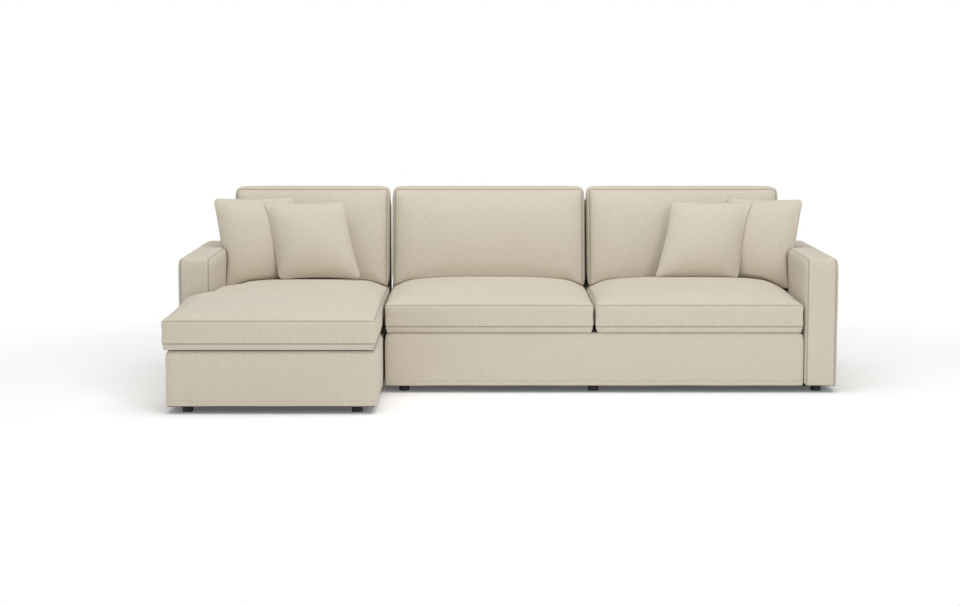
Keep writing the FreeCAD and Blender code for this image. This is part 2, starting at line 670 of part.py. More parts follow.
def add_sofa_base():
    """Rails, springs, deck pad, covers and feet of the two-seat section."""
    front_y = (SOFA_IN_FRONT, plus(SOFA_IN_FRONT, BOARD))
    keep(board("sofa_front_rail", (SOFA_IN_LEFT, SOFA_IN_RIGHT), front_y, RAIL_Z))
    keep(board("sofa_rear_rail", (SOFA_IN_LEFT, SOFA_IN_RIGHT), REAR_RAIL_Y, RAIL_Z))
    side_y = (plus(SOFA_IN_FRONT, BOARD), minus(PANEL_REAR, BOARD))
    left_board = board("sofa_left_board", (SOFA_IN_LEFT, plus(SOFA_IN_LEFT, BOARD)), side_y, RAIL_Z)
    keep(cut("sofa_left_rail", left_board, sofa_bores))
    keep(board("sofa_right_rail", (minus(SOFA_IN_RIGHT, BOARD), SOFA_IN_RIGHT), side_y, RAIL_Z))
    spring_x = (plus(SOFA_IN_LEFT, BOARD), minus(SOFA_IN_RIGHT, BOARD))
    keep(board("sofa_spring_rail", spring_x, SPRING_RAIL_Y, RAIL_Z))
    keep(group("sofa_foot_blocks", [foot_block(x, y) for x, y in foot_places("sofa")]))
    front = number(SOFA_IN_FRONT) + size("board_thickness") / 2
    rear = number(BACK_LOW) - size("board_thickness") / 2
    bends = size("sofa_spring_bends")
    springs = [zigzag_spring(x, front, rear, bends) for x in spring_places("sofa")]
    keep(group("sofa_seat_springs", springs))
    clips = [spring_clip(x, y) for x in spring_places("sofa") for y in (front, rear)]
    keep(group("sofa_spring_clips", clips))
    pad_z = (PAD_LOW, PAD_HIGH)
    keep(board("sofa_deck_pad", (SOFA_IN_LEFT, SOFA_IN_RIGHT), (SOFA_IN_FRONT, BACK_LOW), pad_z))
    cover = extruded("sofa_base_cover_body", "XY_Plane",
                     rectangle((SOFA_SIDE, ARM_RIGHT), (FRONT, PANEL_REAR)), BASE, DECK)
    rounded(cover, "sizes.base_edge_radius", front_and_side_edges(SOFA_SIDE, ARM_RIGHT, FRONT))
    hollowed(cover, rectangle((SOFA_IN_LEFT, SOFA_IN_RIGHT), (SOFA_IN_FRONT, plus(PANEL_REAR, PAST))),
             f"{PAD_HIGH} - {BASE}")
    well_y = (plus(BACK_LOW, WALL), plus(PANEL_REAR, PAST))
    hollowed(cover, rectangle((SOFA_IN_LEFT, SOFA_IN_RIGHT), well_y), f"{DECK} - {BASE} + {PAST}")
    keep(cut("sofa_base_cover", cover, sofa_bores))
    inset = "sizes.dust_cover_inset"
    sheet_z = (f"{BASE} - sizes.dust_cover_thickness", BASE)
    dust = board("sofa_dust_sheet", (plus(SOFA_SIDE, inset), minus(RIGHT, inset)),
                 (plus(FRONT, inset), minus(REAR, inset)), sheet_z)
    keep(cut("sofa_dust_cover", dust, sofa_bores))
    keep(group("sofa_feet", [foot(x, y) for x, y in foot_places("sofa")]))
    keep(group("sofa_screws", sofa_screw_shapes))


# Base frame and covers of the chaise

CHAISE_IN_LEFT = plus(CHAISE_BASE_LEFT, WALL)
CHAISE_IN_RIGHT = minus(CHAISE_SIDE, WALL)
CHAISE_IN_FRONT = plus(CHAISE_FRONT, WALL)
CHAISE_ARM_IN = plus(ARM_LEFT, WALL)
CHAISE_RETURN = minus(FRONT, WALL)


def chaise_outline(left, right, front, arm_side, step, rear):
    """The chaise base's L outline: wide ahead of the arm, narrow beside it."""
    return ((left, front), (right, front), (right, rear), (arm_side, rear), (arm_side, step), (left, step))


def add_chaise_base():
    """Rails, springs, deck pad, covers and feet of the chaise."""
    front_y = (CHAISE_IN_FRONT, plus(CHAISE_IN_FRONT, BOARD))
    keep(board("chaise_front_rail", (CHAISE_IN_LEFT, CHAISE_IN_RIGHT), front_y, RAIL_Z))
    keep(board("chaise_rear_rail", (CHAISE_ARM_IN, CHAISE_IN_RIGHT), REAR_RAIL_Y, RAIL_Z))
    right_y = (plus(CHAISE_IN_FRONT, BOARD), minus(PANEL_REAR, BOARD))
    right_x = (minus(CHAISE_IN_RIGHT, BOARD), CHAISE_IN_RIGHT)
    right_board = board("chaise_right_board", right_x, right_y, RAIL_Z)
    keep(cut("chaise_right_rail", right_board, chaise_bores))
    left_outline = (
        (CHAISE_IN_LEFT, plus(CHAISE_IN_FRONT, BOARD)),
        (plus(CHAISE_IN_LEFT, BOARD), plus(CHAISE_IN_FRONT, BOARD)),
        (plus(CHAISE_IN_LEFT, BOARD), minus(CHAISE_RETURN, BOARD)),
        (plus(CHAISE_ARM_IN, BOARD), minus(CHAISE_RETURN, BOARD)),
        (plus(CHAISE_ARM_IN, BOARD), minus(PANEL_REAR, BOARD)),
        (CHAISE_ARM_IN, minus(PANEL_REAR, BOARD)),
        (CHAISE_ARM_IN, CHAISE_RETURN),
        (CHAISE_IN_LEFT, CHAISE_RETURN),
    )
    keep(extruded("chaise_left_rail", "XY_Plane", left_outline, BASE, RAIL_TOP))
    spring_x = (plus(CHAISE_ARM_IN, BOARD), minus(CHAISE_IN_RIGHT, BOARD))
    keep(board("chaise_spring_rail", spring_x, SPRING_RAIL_Y, RAIL_Z))
    keep(group("chaise_foot_blocks", [foot_block(x, y) for x, y in foot_places("chaise")]))
    front = number(CHAISE_IN_FRONT) + size("board_thickness") / 2
    rear = number(BACK_LOW) - size("board_thickness") / 2
    bends = size("chaise_spring_bends")
    springs = [zigzag_spring(x, front, rear, bends) for x in spring_places("chaise")]
    keep(group("chaise_seat_springs", springs))
    clips = [spring_clip(x, y) for x in spring_places("chaise") for y in (front, rear)]
    keep(group("chaise_spring_clips", clips))
    inner = (CHAISE_IN_LEFT, CHAISE_IN_RIGHT, CHAISE_IN_FRONT, CHAISE_ARM_IN, CHAISE_RETURN)
    keep(extruded("chaise_deck_pad", "XY_Plane", chaise_outline(*inner, BACK_LOW), PAD_LOW, PAD_HIGH))
    outer = (CHAISE_BASE_LEFT, CHAISE_SIDE, CHAISE_FRONT, ARM_LEFT, FRONT)
    cover = extruded("chaise_base_cover_body", "XY_Plane", chaise_outline(*outer, PANEL_REAR), BASE, DECK)
    chosen = front_and_side_edges(CHAISE_BASE_LEFT, CHAISE_SIDE, CHAISE_FRONT)
    rounded(cover, "sizes.base_edge_radius", chosen)
    hollowed(cover, chaise_outline(*inner, plus(PANEL_REAR, PAST)), f"{PAD_HIGH} - {BASE}")
    well_y = (plus(BACK_LOW, WALL), plus(PANEL_REAR, PAST))
    hollowed(cover, rectangle((CHAISE_ARM_IN, CHAISE_IN_RIGHT), well_y), f"{DECK} - {BASE} + {PAST}")
    keep(cut("chaise_base_cover", cover, chaise_bores))
    inset = "sizes.dust_cover_inset"
    sheet_outline = (
        (plus(CHAISE_BASE_LEFT, inset), plus(CHAISE_FRONT, inset)),
        (minus(CHAISE_SIDE, inset), plus(CHAISE_FRONT, inset)),
        (minus(CHAISE_SIDE, inset), minus(REAR, inset)),
        (plus(LEFT, inset), minus(REAR, inset)),
        (plus(LEFT, inset), plus(FRONT, inset)),
        (plus(CHAISE_BASE_LEFT, inset), plus(FRONT, inset)),
    )
    sheet_low = f"{BASE} - sizes.dust_cover_thickness"
    dust = extruded("chaise_dust_sheet", "XY_Plane", sheet_outline, sheet_low, BASE)
    keep(cut("chaise_dust_cover", dust, chaise_bores))
    keep(group("chaise_feet", [foot(x, y) for x, y in foot_places("chaise")]))
    keep(group("chaise_screws", chaise_screw_shapes))


# Arms

def add_arm(side, outer, inner):
    """Posts, rails, panels and the padded cover of one arm; outer and inner are its faces."""
    low_x, high_x = (outer, inner) if side == "left" else (inner, outer)
    in_low, in_high = plus(low_x, WALL), minus(high_x, WALL)
    in_front, in_rear = plus(FRONT, WALL), minus(REAR, WALL)
    x = (number(in_low), number(in_high))
    front, rear = number(in_front), number(in_rear)
    thick = size("board_thickness")
    low, high = number(BASE), size("arm_height") - size("cover_wall")
    boards = [box_shape(x, (front, front + thick), (low, high - thick)),
              box_shape(x, (rear - thick, rear), (low, high - thick)),
              box_shape(x, (front, rear), (high - thick, high))]
    keep(group(f"{side}_arm_frame", boards))
    panel = size("panel_thickness")
    panel_y = (front + thick, rear - thick)
    panels = [box_shape((x[0], x[0] + panel), panel_y, (low, high - thick)),
              box_shape((x[1] - panel, x[1]), panel_y, (low, high - thick))]
    keep(group(f"{side}_arm_panels", panels))
    cover = extruded(f"{side}_arm_cover", "XY_Plane", rectangle((low_x, high_x), (FRONT, REAR)),
                     BASE, "sizes.arm_height")
    top, front_face = size("arm_height"), number(FRONT)
    outer_x = number(outer)

    def chosen(middle, direction):
        on_top = abs(middle.z - top) < NEAR
        at_front = abs(middle.y - front_face) < NEAR
        at_foot = abs(middle.z - low) < NEAR and abs(middle.x - outer_x) < NEAR
        return on_top or (at_front and abs(direction.z) > 0.9) or (at_front and at_foot)

    rounded(cover, "sizes.arm_edge_radius", chosen)
    hollowed(cover, rectangle((in_low, in_high), (in_front, in_rear)), f"sizes.arm_height - {WALL} - {BASE}")
    keep(cover)


# Fixed backs

def add_back(section, low_x, high_x):
    """Posts, top rail, webbing and the cover of one section's fixed back."""
    in_low, in_high = plus(low_x, WALL), minus(high_x, WALL)
    strap = "sizes.strap_thickness"
    top = "sizes.back_height"
    post_front_low = plus(back_front(DECK), f"({WALL} + {strap})")
    post_front_high = plus(back_front(POST_TOP), f"({WALL} + {strap})")
    post_foot = plus(BASE, "sizes.foot_block_height")
    profile = (
        (BACK_LOW, post_foot), (minus(PANEL_REAR, BOARD), post_foot), (minus(PANEL_REAR, BOARD), RAIL_TOP),
        (PANEL_REAR, RAIL_TOP), (PANEL_REAR, POST_TOP), (post_front_high, POST_TOP),
        (post_front_low, DECK), (post_front_low, RAIL_TOP), (BACK_LOW, RAIL_TOP),
    )
    thick = size("board_thickness")
    first, last = number(in_low) + thick, number(in_high) - thick
    middles = [(first + last) / 2] if section == "sofa" else []
    starts = [first] + [middle - thick / 2 for middle in middles] + [last - thick]
    points = [vector(0, number(y), number(z)) for y, z in profile]
    face = Part.Face(Part.makePolygon(points + points[:1]))
    boards = []
    for start in starts:
        post = face.extrude(vector(thick, 0, 0))
        post.translate(vector(start, 0, 0))
        boards.append(post)
    rail_front = number(plus(back_front(f"({POST_TOP} + {BOARD})"), f"({WALL} + {strap})"))
    boards.append(box_shape((number(in_low), number(in_high)), (rail_front, number(PANEL_REAR)),
                            (number(POST_TOP), number(plus(POST_TOP, BOARD)))))
    keep(group(f"{section}_back_frame", boards))
    keep(group(f"{section}_back_webbing", webbing(first, last)))
    outer = (
        (REAR, BASE), (REAR, top), (BACK_HIGH, top), (BACK_LOW, DECK), (PANEL_REAR, DECK), (PANEL_REAR, BASE),
    )
    shell = extruded(f"{section}_back_cover_body", "YZ_Plane", outer, low_x, high_x)
    top_z = size("back_height")
    rounded(shell, "sizes.back_edge_radius",
            lambda middle, direction: abs(middle.z - top_z) < NEAR and abs(direction.x) > 0.9)
    inside_top = f"({top} - {WALL})"
    inner = (
        (PANEL_REAR, minus(DECK, PAST)), (PANEL_REAR, inside_top),
        (plus(back_front(inside_top), WALL), inside_top), (plus(BACK_LOW, WALL), DECK),
        (plus(BACK_LOW, WALL), minus(DECK, PAST)),
    )
    hollow = extruded(f"{section}_back_hollow", "YZ_Plane", inner, in_low, in_high)
    keep(cut(f"{section}_back_cover", shell, hollow))


def webbing(first, last):
    """Straps across the front edges of the back posts."""
    width, thick, wall = size("strap_width"), size("strap_thickness"), size("cover_wall")
    straps = []
    for middle in between(number(DECK), number(POST_TOP), int(size("strap_count"))):
        corners = []
        for height, depth in ((middle - width / 2, wall), (middle - width / 2, wall + thick),
                              (middle + width / 2, wall + thick), (middle + width / 2, wall)):
            corners.append(vector(first, number(back_front(str(height))) + depth, height))
        face = Part.Face(Part.makePolygon(corners + corners[:1]))
        straps.append(face.extrude(vector(last - first, 0, 0)))
    return straps


add_sofa_base()
add_chaise_base()
add_arm("right", RIGHT, ARM_RIGHT)
add_arm("left", LEFT, ARM_LEFT)
add_back("sofa", SOFA_SIDE, ARM_RIGHT)
add_back("chaise", ARM_LEFT, CHAISE_SIDE)
keep(group("sofa_joint_sockets", [socket_bracket(y) for y in bracket_places()]))
keep(group("chaise_joint_hooks", [hook_bracket(y) for y in bracket_places()]))
doc.recompute()


# Loose cushions

CUSHION_REAR = number(BACK_LOW) - size("soft_gap")
SIDE = size("seat_side_gap")
COVER = size("cushion_cover")
SEAT_SPANS = {
    "chaise": (number(ARM_LEFT) + SIDE, number(CHAISE_SIDE) - SIDE / 2),
    "middle": (number(SOFA_SIDE) + SIDE / 2, number(SEAT_JOINT) - SIDE),
    "right": (number(SEAT_JOINT) + SIDE, number(ARM_RIGHT) - SIDE),
}


def chaise_seat(inset):
    """The L-shaped chaise cushion: its long part and the ear ahead of the arm."""
    front = number(CHAISE_CUSHION_FRONT)
    long_part = seat_form(SEAT_SPANS["chaise"], front, CUSHION_REAR, inset)
    ear_span = (number(CHAISE_BASE_LEFT) - size("ear_overhang"), SEAT_SPANS["chaise"][1])
    ear = seat_form(ear_span, front, number(FRONT) - size("ear_arm_gap"), inset)
    return long_part.fuse(ear).removeSplitter()


def seat_shape(name, inset):
    if name == "chaise":
        return chaise_seat(inset)
    return seat_form(SEAT_SPANS[name], number(CUSHION_FRONT), CUSHION_REAR, inset)


BACK_GAP = size("back_side_gap")
BACK_SPANS = {
    "chaise": (number(ARM_LEFT) + 2 * BACK_GAP, number(CHAISE_SIDE)),
    "middle": (number(SOFA_SIDE) + BACK_GAP / 2, number(SEAT_JOINT) - BACK_GAP),
    "right": (number(SEAT_JOINT) + BACK_GAP, number(ARM_RIGHT) - BACK_GAP),
}

seats = {}
backs = {}
for part in ("chaise", "middle", "right"):
    seats[part] = seat_shape(part, 0.0)
    keep(*covered(f"{part}_seat_cover", f"{part}_seat_core", seats[part], seat_shape(part, COVER)))
    above = [(seats[part], (0, 0, 1))]
    backs[part] = clear_of(back_form(BACK_SPANS[part]), above)
    fill = clear_of(back_form(BACK_SPANS[part], COVER), above, COVER)
    keep(*covered(f"{part}_back_cushion_cover", f"{part}_back_cushion_fill", backs[part], fill))


# Throw pillows: the outer one of each pair leans in the corner, the inner one in front of it

arm_shapes = {side: doc.getObject(f"{side}_arm_cover").Shape for side in ("left", "right")}
# Ways that a pillow is kept clear of what it rests on
OFF_SEAT = (0, 0, 1)
OFF_BACK = (0, -1, 0.3)
ROUND_RIM = (0, 1, -0.3)
ARM_RISE = 0.4
SEAT_FRONTS = {"chaise": number(CHAISE_CUSHION_FRONT), "right": number(CUSHION_FRONT)}


def seat_top(part, y):
    """Height of a seat cushion's top on its middle line."""
    middle = (SEAT_FRONTS[part] + CUSHION_REAR) / 2
    half = (CUSHION_REAR - SEAT_FRONTS[part]) / 2 - size("seat_roll_depth")
    rise = size("seat_crown") * (1 - ((y - middle) / half) ** 2)
    return number(DECK) + size("seat_seam_high") + size("seat_roll") + rise


def add_pillow(name, side, part, from_arm, kind, behind):
    """One pillow, pressed flat where it rests on its neighbours; gives its outer form."""
    way = 1 if side == "left" else -1
    arm_face = number(ARM_LEFT if side == "left" else ARM_RIGHT)
    y = number(BACK_LOW) - size("pillow_forward")
    foot_z = seat_top(part, y) - size("pillow_press")
    turn = way * size(f"{kind}_pillow_turn")
    place = pillow_place(arm_face + way * from_arm, y, foot_z, turn, size("pillow_lean"))
    slump = -way * size(f"{kind}_pillow_slump") / size("pillow_height")
    cover = size("pillow_cover")
    neighbours = [(seats[part], OFF_SEAT), (backs[part], OFF_BACK), (arm_shapes[side], (way, 0, ARM_RISE))]
    if behind is not None:
        neighbours += [(behind, OFF_BACK), (behind, ROUND_RIM), (behind, (way, 0, 0))]
    placed = place.toMatrix()
    outer = clear_of(pillow_form(slump).transformed(placed), neighbours)
    inner = clear_of(pillow_form(slump, cover).transformed(placed).common(outer), neighbours, cover)
    keep(*covered(f"{name}_pillow_cover", f"{name}_pillow_fill", outer, inner, place))
    return outer


for side, part in (("left", "chaise"), ("right", "right")):
    corner = add_pillow(f"{side}_outer", side, part, size("outer_pillow_place"), "outer", None)
    add_pillow(f"{side}_inner", side, part, size(f"{side}_inner_pillow_place"), "inner", corner)

doc.recompute()

for item in doc.Objects:
    if {"Invalid", "Error"} & set(item.State):
        raise RuntimeError(f"{item.Label} failed: {item.State}")
for piece in PIECES:
    if piece.Shape.isNull() or not piece.Shape.isValid() or not piece.Shape.Solids:
        raise RuntimeError(f"{piece.Label} has no valid solid")

os.makedirs("parts", exist_ok=True)
for piece in PIECES:
    piece.Shape.exportStep(f"parts/{piece.Label}.step")
    print(f"{piece.Label}: {len(piece.Shape.Solids)} solids, {len(piece.Shape.Faces)} faces")
print(f"{len(PIECES)} nodes")
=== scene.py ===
import json
import math

import bpy
import numpy as np
from bpy.props import FloatProperty, FloatVectorProperty, PointerProperty
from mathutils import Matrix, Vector
from mathutils.bvhtree import BVHTree
from mathutils.kdtree import KDTree


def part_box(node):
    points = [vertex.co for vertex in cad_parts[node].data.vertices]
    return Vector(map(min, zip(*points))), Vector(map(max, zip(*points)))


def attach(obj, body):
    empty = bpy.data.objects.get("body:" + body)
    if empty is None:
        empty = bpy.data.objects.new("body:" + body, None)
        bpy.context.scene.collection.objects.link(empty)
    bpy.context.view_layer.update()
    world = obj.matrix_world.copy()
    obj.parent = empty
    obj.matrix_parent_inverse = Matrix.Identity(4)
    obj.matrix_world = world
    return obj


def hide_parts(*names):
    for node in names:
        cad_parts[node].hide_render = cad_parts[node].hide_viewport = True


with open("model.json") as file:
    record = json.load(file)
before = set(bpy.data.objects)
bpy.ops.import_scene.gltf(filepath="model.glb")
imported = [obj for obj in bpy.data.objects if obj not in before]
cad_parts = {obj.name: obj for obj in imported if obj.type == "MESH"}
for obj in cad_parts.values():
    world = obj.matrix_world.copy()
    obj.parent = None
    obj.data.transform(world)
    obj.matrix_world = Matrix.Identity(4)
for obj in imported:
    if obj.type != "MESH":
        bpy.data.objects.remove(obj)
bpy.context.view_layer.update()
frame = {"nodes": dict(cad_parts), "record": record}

bl_info = {
    "name": "Sectional sofa",
    "version": (1, 0, 0),
    "blender": (4, 5, 0),
    "location": "3D View > Sidebar > Sofa",
    "description": "Upholstery, cushions and finishes of a sectional sofa with a chaise",
    "category": "Object",
}

FLOOR_HEIGHT = 0.0


def srgb(text):
    """Linear colour with full alpha from an sRGB hex value."""
    shares = [int(text[place:place + 2], 16) / 255 for place in (1, 3, 5)]
    linear = [s / 12.92 if s <= 0.04045 else ((s + 0.055) / 1.055) ** 2.4 for s in shares]
    return (*linear, 1.0)


def scaled(tint, share):
    """A colour made darker or lighter by a factor."""
    return (*(min(1.0, part * share) for part in tint[:3]), 1.0)


def colour(name, hex_value, description):
    """A colour setting whose default is an sRGB hex value."""
    return FloatVectorProperty(name=name, description=description, subtype="COLOR", size=4,
                               min=0.0, max=1.0, default=srgb(hex_value))


def length(name, default, description):
    """A length setting in metres."""
    return FloatProperty(name=name, description=description, default=default, min=0.0,
                         unit="LENGTH", subtype="DISTANCE", precision=4)


class SofaSizes(bpy.types.PropertyGroup):
    """Sizes of the upholstery that a user would change."""
    cell: length("Cloth cell", 0.0175, "Spacing of the cloth's mesh lines")
    seam_flank: length("Seam flank", 0.0040, "Distance of the first mesh line beside a seam")
    seam_depth: length("Seam depth", 0.0060, "How far a seam is drawn into its cushion")
    lower_seam: length("Lower seam", 0.030, "Seat cushion's lower seam above the deck")
    upper_seam: length("Upper seam", 0.134, "Seat cushion's upper seam above the deck")
    tuck: length("Tuck", 0.014, "Seat cushion's foot behind its lower seam")
    seat_roll: length("Seat roll", 0.034, "Steep rise of the seat's top above the upper seam")
    seat_roll_depth: length("Seat roll depth", 0.060, "Depth of that rise")
    seat_crown: length("Seat crown", 0.044, "Further rise to the middle of the seat")
    back_low: length("Back cushion foot", 0.198, "Thickness of a back cushion at its foot")
    back_high: length("Back cushion head", 0.128, "Thickness of a back cushion at its top")
    back_roll: length("Back cushion roll", 0.022, "Rounding beside the front seam")
    back_crown: length("Back cushion crown", 0.034, "Bulge of the front")
    back_top_depth: length("Back depth", 0.077, "Fixed back's depth at its top")
    pillow_cell: length("Pillow cell", 0.0085, "Spacing of a throw pillow's mesh lines")
    swell: length("Swell", 0.012, "Most that a cushion's cloth moves when it fills out")
    slack: length("Slack", 0.008, "How much smaller a cushion starts before it fills out")
    arm_roll: length("Arm roll", 0.034, "Rounding of the arms' side panels")
    staple_pitch: length("Staple pitch", 0.045, "Spacing of the staples along the dust covers")


class SofaColours(bpy.types.PropertyGroup):
    """Colours of the sofa's finishes."""
    linen: colour("Linen", "#CDC4B4", "Main thread of the cover cloth")
    linen_light: colour("Light thread", "#D8D0C3", "Paler slubs in the cover cloth")
    linen_dark: colour("Dark thread", "#B4A88E", "Darker slubs in the cover cloth")
    pine: colour("Pine", "#C9A26B", "Sawn frame boards")
    board: colour("Fibreboard", "#7A5E41", "Arm panels")
    felt: colour("Felt", "#B5B2AA", "Deck pads")
    strap: colour("Strap", "#8C7754", "Webbing of the backs")
    cambric: colour("Cambric", "#1A1A1B", "Dust covers under the frame")
    foot: colour("Foot", "#3A3B3B", "Moulded feet")
    coat: colour("Powder coat", "#1D1D1E", "Joining brackets")


def settings():
    return bpy.context.scene.sofa_sizes


def colours():
    return bpy.context.scene.sofa_colours


# Materials

def feed(tree, node, inputs):
    """Give a node's inputs their fixed values or the sockets of other nodes."""
    for name, value in inputs.items():
        if isinstance(value, bpy.types.NodeSocket):
            tree.links.new(value, node.inputs[name])
        else:
            node.inputs[name].default_value = value


def add_node(tree, kind, settings=None, inputs=None):
    """A shader or geometry node with its settings and inputs."""
    node = tree.nodes.new(kind)
    for name, value in (settings or {}).items():
        setattr(node, name, value)
    feed(tree, node, inputs or {})
    return node


def new_material(name):
    """An empty material with its tree and shader."""
    material = bpy.data.materials.new(name)
    material.use_nodes = True
    tree = material.node_tree
    tree.nodes.clear()
    shader = add_node(tree, "ShaderNodeBsdfPrincipled")
    add_node(tree, "ShaderNodeOutputMaterial", inputs={"Surface": shader.outputs["BSDF"]})
    return material, tree, shader


def grained(tree, place, scale, detail, roughness):
    """A grain with so many periods per metre along each axis."""
    placed = add_node(tree, "ShaderNodeMapping", inputs={"Vector": place, "Scale": scale})
    grain = add_node(tree, "ShaderNodeTexNoise", inputs={
        "Vector": placed.outputs["Vector"], "Scale": 1.0, "Detail": detail, "Roughness": roughness})
    return grain.outputs["Fac"]


def tinted(tree, base, tint, factor, amount=1.0, span=(0.0, 1.0)):
    """A base colour under a tint, which reaches its amount where the factor reaches the end of its span."""
    share = add_node(tree, "ShaderNodeMapRange", inputs={
        "Value": factor, "From Min": span[0], "From Max": span[1], "To Max": amount})
    layer = add_node(tree, "ShaderNodeMix", {"data_type": "RGBA"}, {
        0: share.outputs["Result"], 6: base, 7: tint})
    return layer.outputs[2]


# Real thread pitch is about 1.1 mm. It is too fine for the render, so the weave is drawn at 3 mm.
THREAD_PITCH = 0.003
# Bands of a wave texture for each metre at a scale of 1
WAVE_BANDS = 10 / math.pi
# A slub is a thick stretch of yarn, about 45 mm long and 4 mm wide.
SLUB_LENGTH = 0.045
SLUB_WIDTH = 0.004
FLECK_SIZE = 0.007
WEAR_PER_METRE = 2.2


def linen_weave():
    """Linen blend, plain woven from slubby yarn: matt and warm, with faint streaks and small flecks."""
    material, tree, shader = new_material("linen_blend_plain_weave")
    shade = colours()
    cloth = add_node(tree, "ShaderNodeUVMap", {"uv_map": "cloth"}).outputs["UV"]
    along, across = 1 / SLUB_LENGTH, 1 / SLUB_WIDTH
    yarns = [grained(tree, cloth, scale, 3.0, 0.6) for scale in ((along, across, 1.0), (across, along, 1.0))]

    def uneven(end):
        """Where the weft or the warp departs from its mean thickness, full at the end value."""
        shares = [add_node(tree, "ShaderNodeMapRange", inputs={
            "Value": yarn, "From Min": 0.5, "From Max": end}).outputs["Result"] for yarn in yarns]
        return add_node(tree, "ShaderNodeMath", {"operation": "MAXIMUM"}, dict(enumerate(shares))).outputs[0]

    thick, thin = uneven(0.78), uneven(0.25)
    flecks = grained(tree, cloth, (1 / FLECK_SIZE, 1 / FLECK_SIZE, 1.0), 1.0, 0.4)
    wear = grained(tree, cloth, (WEAR_PER_METRE, WEAR_PER_METRE, 1.0), 3.0, 0.55)
    base = tinted(tree, shade.linen, shade.linen_dark, thin, 0.34)
    base = tinted(tree, base, shade.linen_light, thick, 0.45)
    base = tinted(tree, base, shade.linen_dark, flecks, 0.45, (0.64, 0.72))
    base = tinted(tree, base, shade.linen_light, flecks, 0.55, (0.36, 0.28))
    base = tinted(tree, base, shade.linen_dark, wear, 0.10, (0.45, 0.75))
    # Painted shade darkens the cloth along the seams, which carry their own attribute.
    seam = add_node(tree, "ShaderNodeAttribute", {"attribute_name": "seam"}).outputs["Fac"]
    base = tinted(tree, base, scaled(shade.linen_dark, 0.42), seam, 0.55)
    # A band is one thread up and the next one down.
    bands = 1 / THREAD_PITCH / 2
    threads = [add_node(tree, "ShaderNodeTexWave", {"bands_direction": direction}, {
        "Vector": cloth, "Scale": bands / WAVE_BANDS, "Distortion": 0.8, "Detail": 1.0,
        "Detail Scale": 2.0}).outputs["Fac"] for direction in ("X", "Y")]
    weave = add_node(tree, "ShaderNodeMath", {"operation": "MULTIPLY"}, dict(enumerate(threads)))
    weave = add_node(tree, "ShaderNodeMath", {"operation": "MULTIPLY"}, {0: weave.outputs[0], 1: 0.5})
    relief = add_node(tree, "ShaderNodeMath", {"operation": "MULTIPLY_ADD"}, {
        0: thick, 1: 0.7, 2: weave.outputs[0]})
    bump = add_node(tree, "ShaderNodeBump", inputs={
        "Height": relief.outputs[0], "Strength": 0.35, "Distance": 0.0008})
    rough = add_node(tree, "ShaderNodeMapRange", inputs={"Value": yarns[0], "To Min": 0.86, "To Max": 0.97})
    feed(tree, shader, {
        "Base Color": base, "Roughness": rough.outputs["Result"], "Normal": bump.outputs["Normal"],
        "Specular IOR Level": 0.25, "Sheen Weight": 0.12, "Sheen Roughness": 0.5})
    return material


def sawn_pine():
    """Pine boards, sawn and planed: long grain with darker late wood, dry and matt."""
    material, tree, shader = new_material("sawn_pine")
    place = add_node(tree, "ShaderNodeTexCoord").outputs["Object"]
    fibres = grained(tree, place, (3.0, 90.0, 90.0), 4.0, 0.6)
    bands = grained(tree, place, (1.2, 22.0, 22.0), 2.0, 0.5)
    dark = scaled(colours().pine, 0.55)
    base = tinted(tree, colours().pine, dark, bands, 1.0, (0.45, 0.7))
    base = tinted(tree, base, dark, fibres, 0.35)
    bump = add_node(tree, "ShaderNodeBump", inputs={"Height": fibres, "Strength": 0.3, "Distance": 0.0006})
    feed(tree, shader, {"Base Color": base, "Normal": bump.outputs["Normal"], "Roughness": 0.72})
    return material


def speckled(name, tint, scale, contrast, roughness, bump_depth, metallic=0.0):
    """A surface of one tint broken up by fine grains; scale is in grains per metre."""
    material, tree, shader = new_material(name)
    place = add_node(tree, "ShaderNodeTexCoord").outputs["Object"]
    grains = grained(tree, place, (scale,) * 3, 3.0, 0.6)
    patches = grained(tree, place, (scale / 25,) * 3, 2.0, 0.5)
    dark = scaled(tint, 1 - contrast)
    base = tinted(tree, dark, scaled(tint, 1 + contrast), grains)
    base = tinted(tree, base, dark, patches, 0.3)
    rough = add_node(tree, "ShaderNodeMapRange", inputs={
        "Value": patches, "To Min": max(0.05, roughness - 0.08), "To Max": min(1.0, roughness + 0.08)})
    bump = add_node(tree, "ShaderNodeBump", inputs={
        "Height": grains, "Strength": 0.4, "Distance": bump_depth})
    feed(tree, shader, {
        "Base Color": base, "Roughness": rough.outputs["Result"], "Normal": bump.outputs["Normal"],
        "Metallic": metallic})
    return material


FINISHES = {}


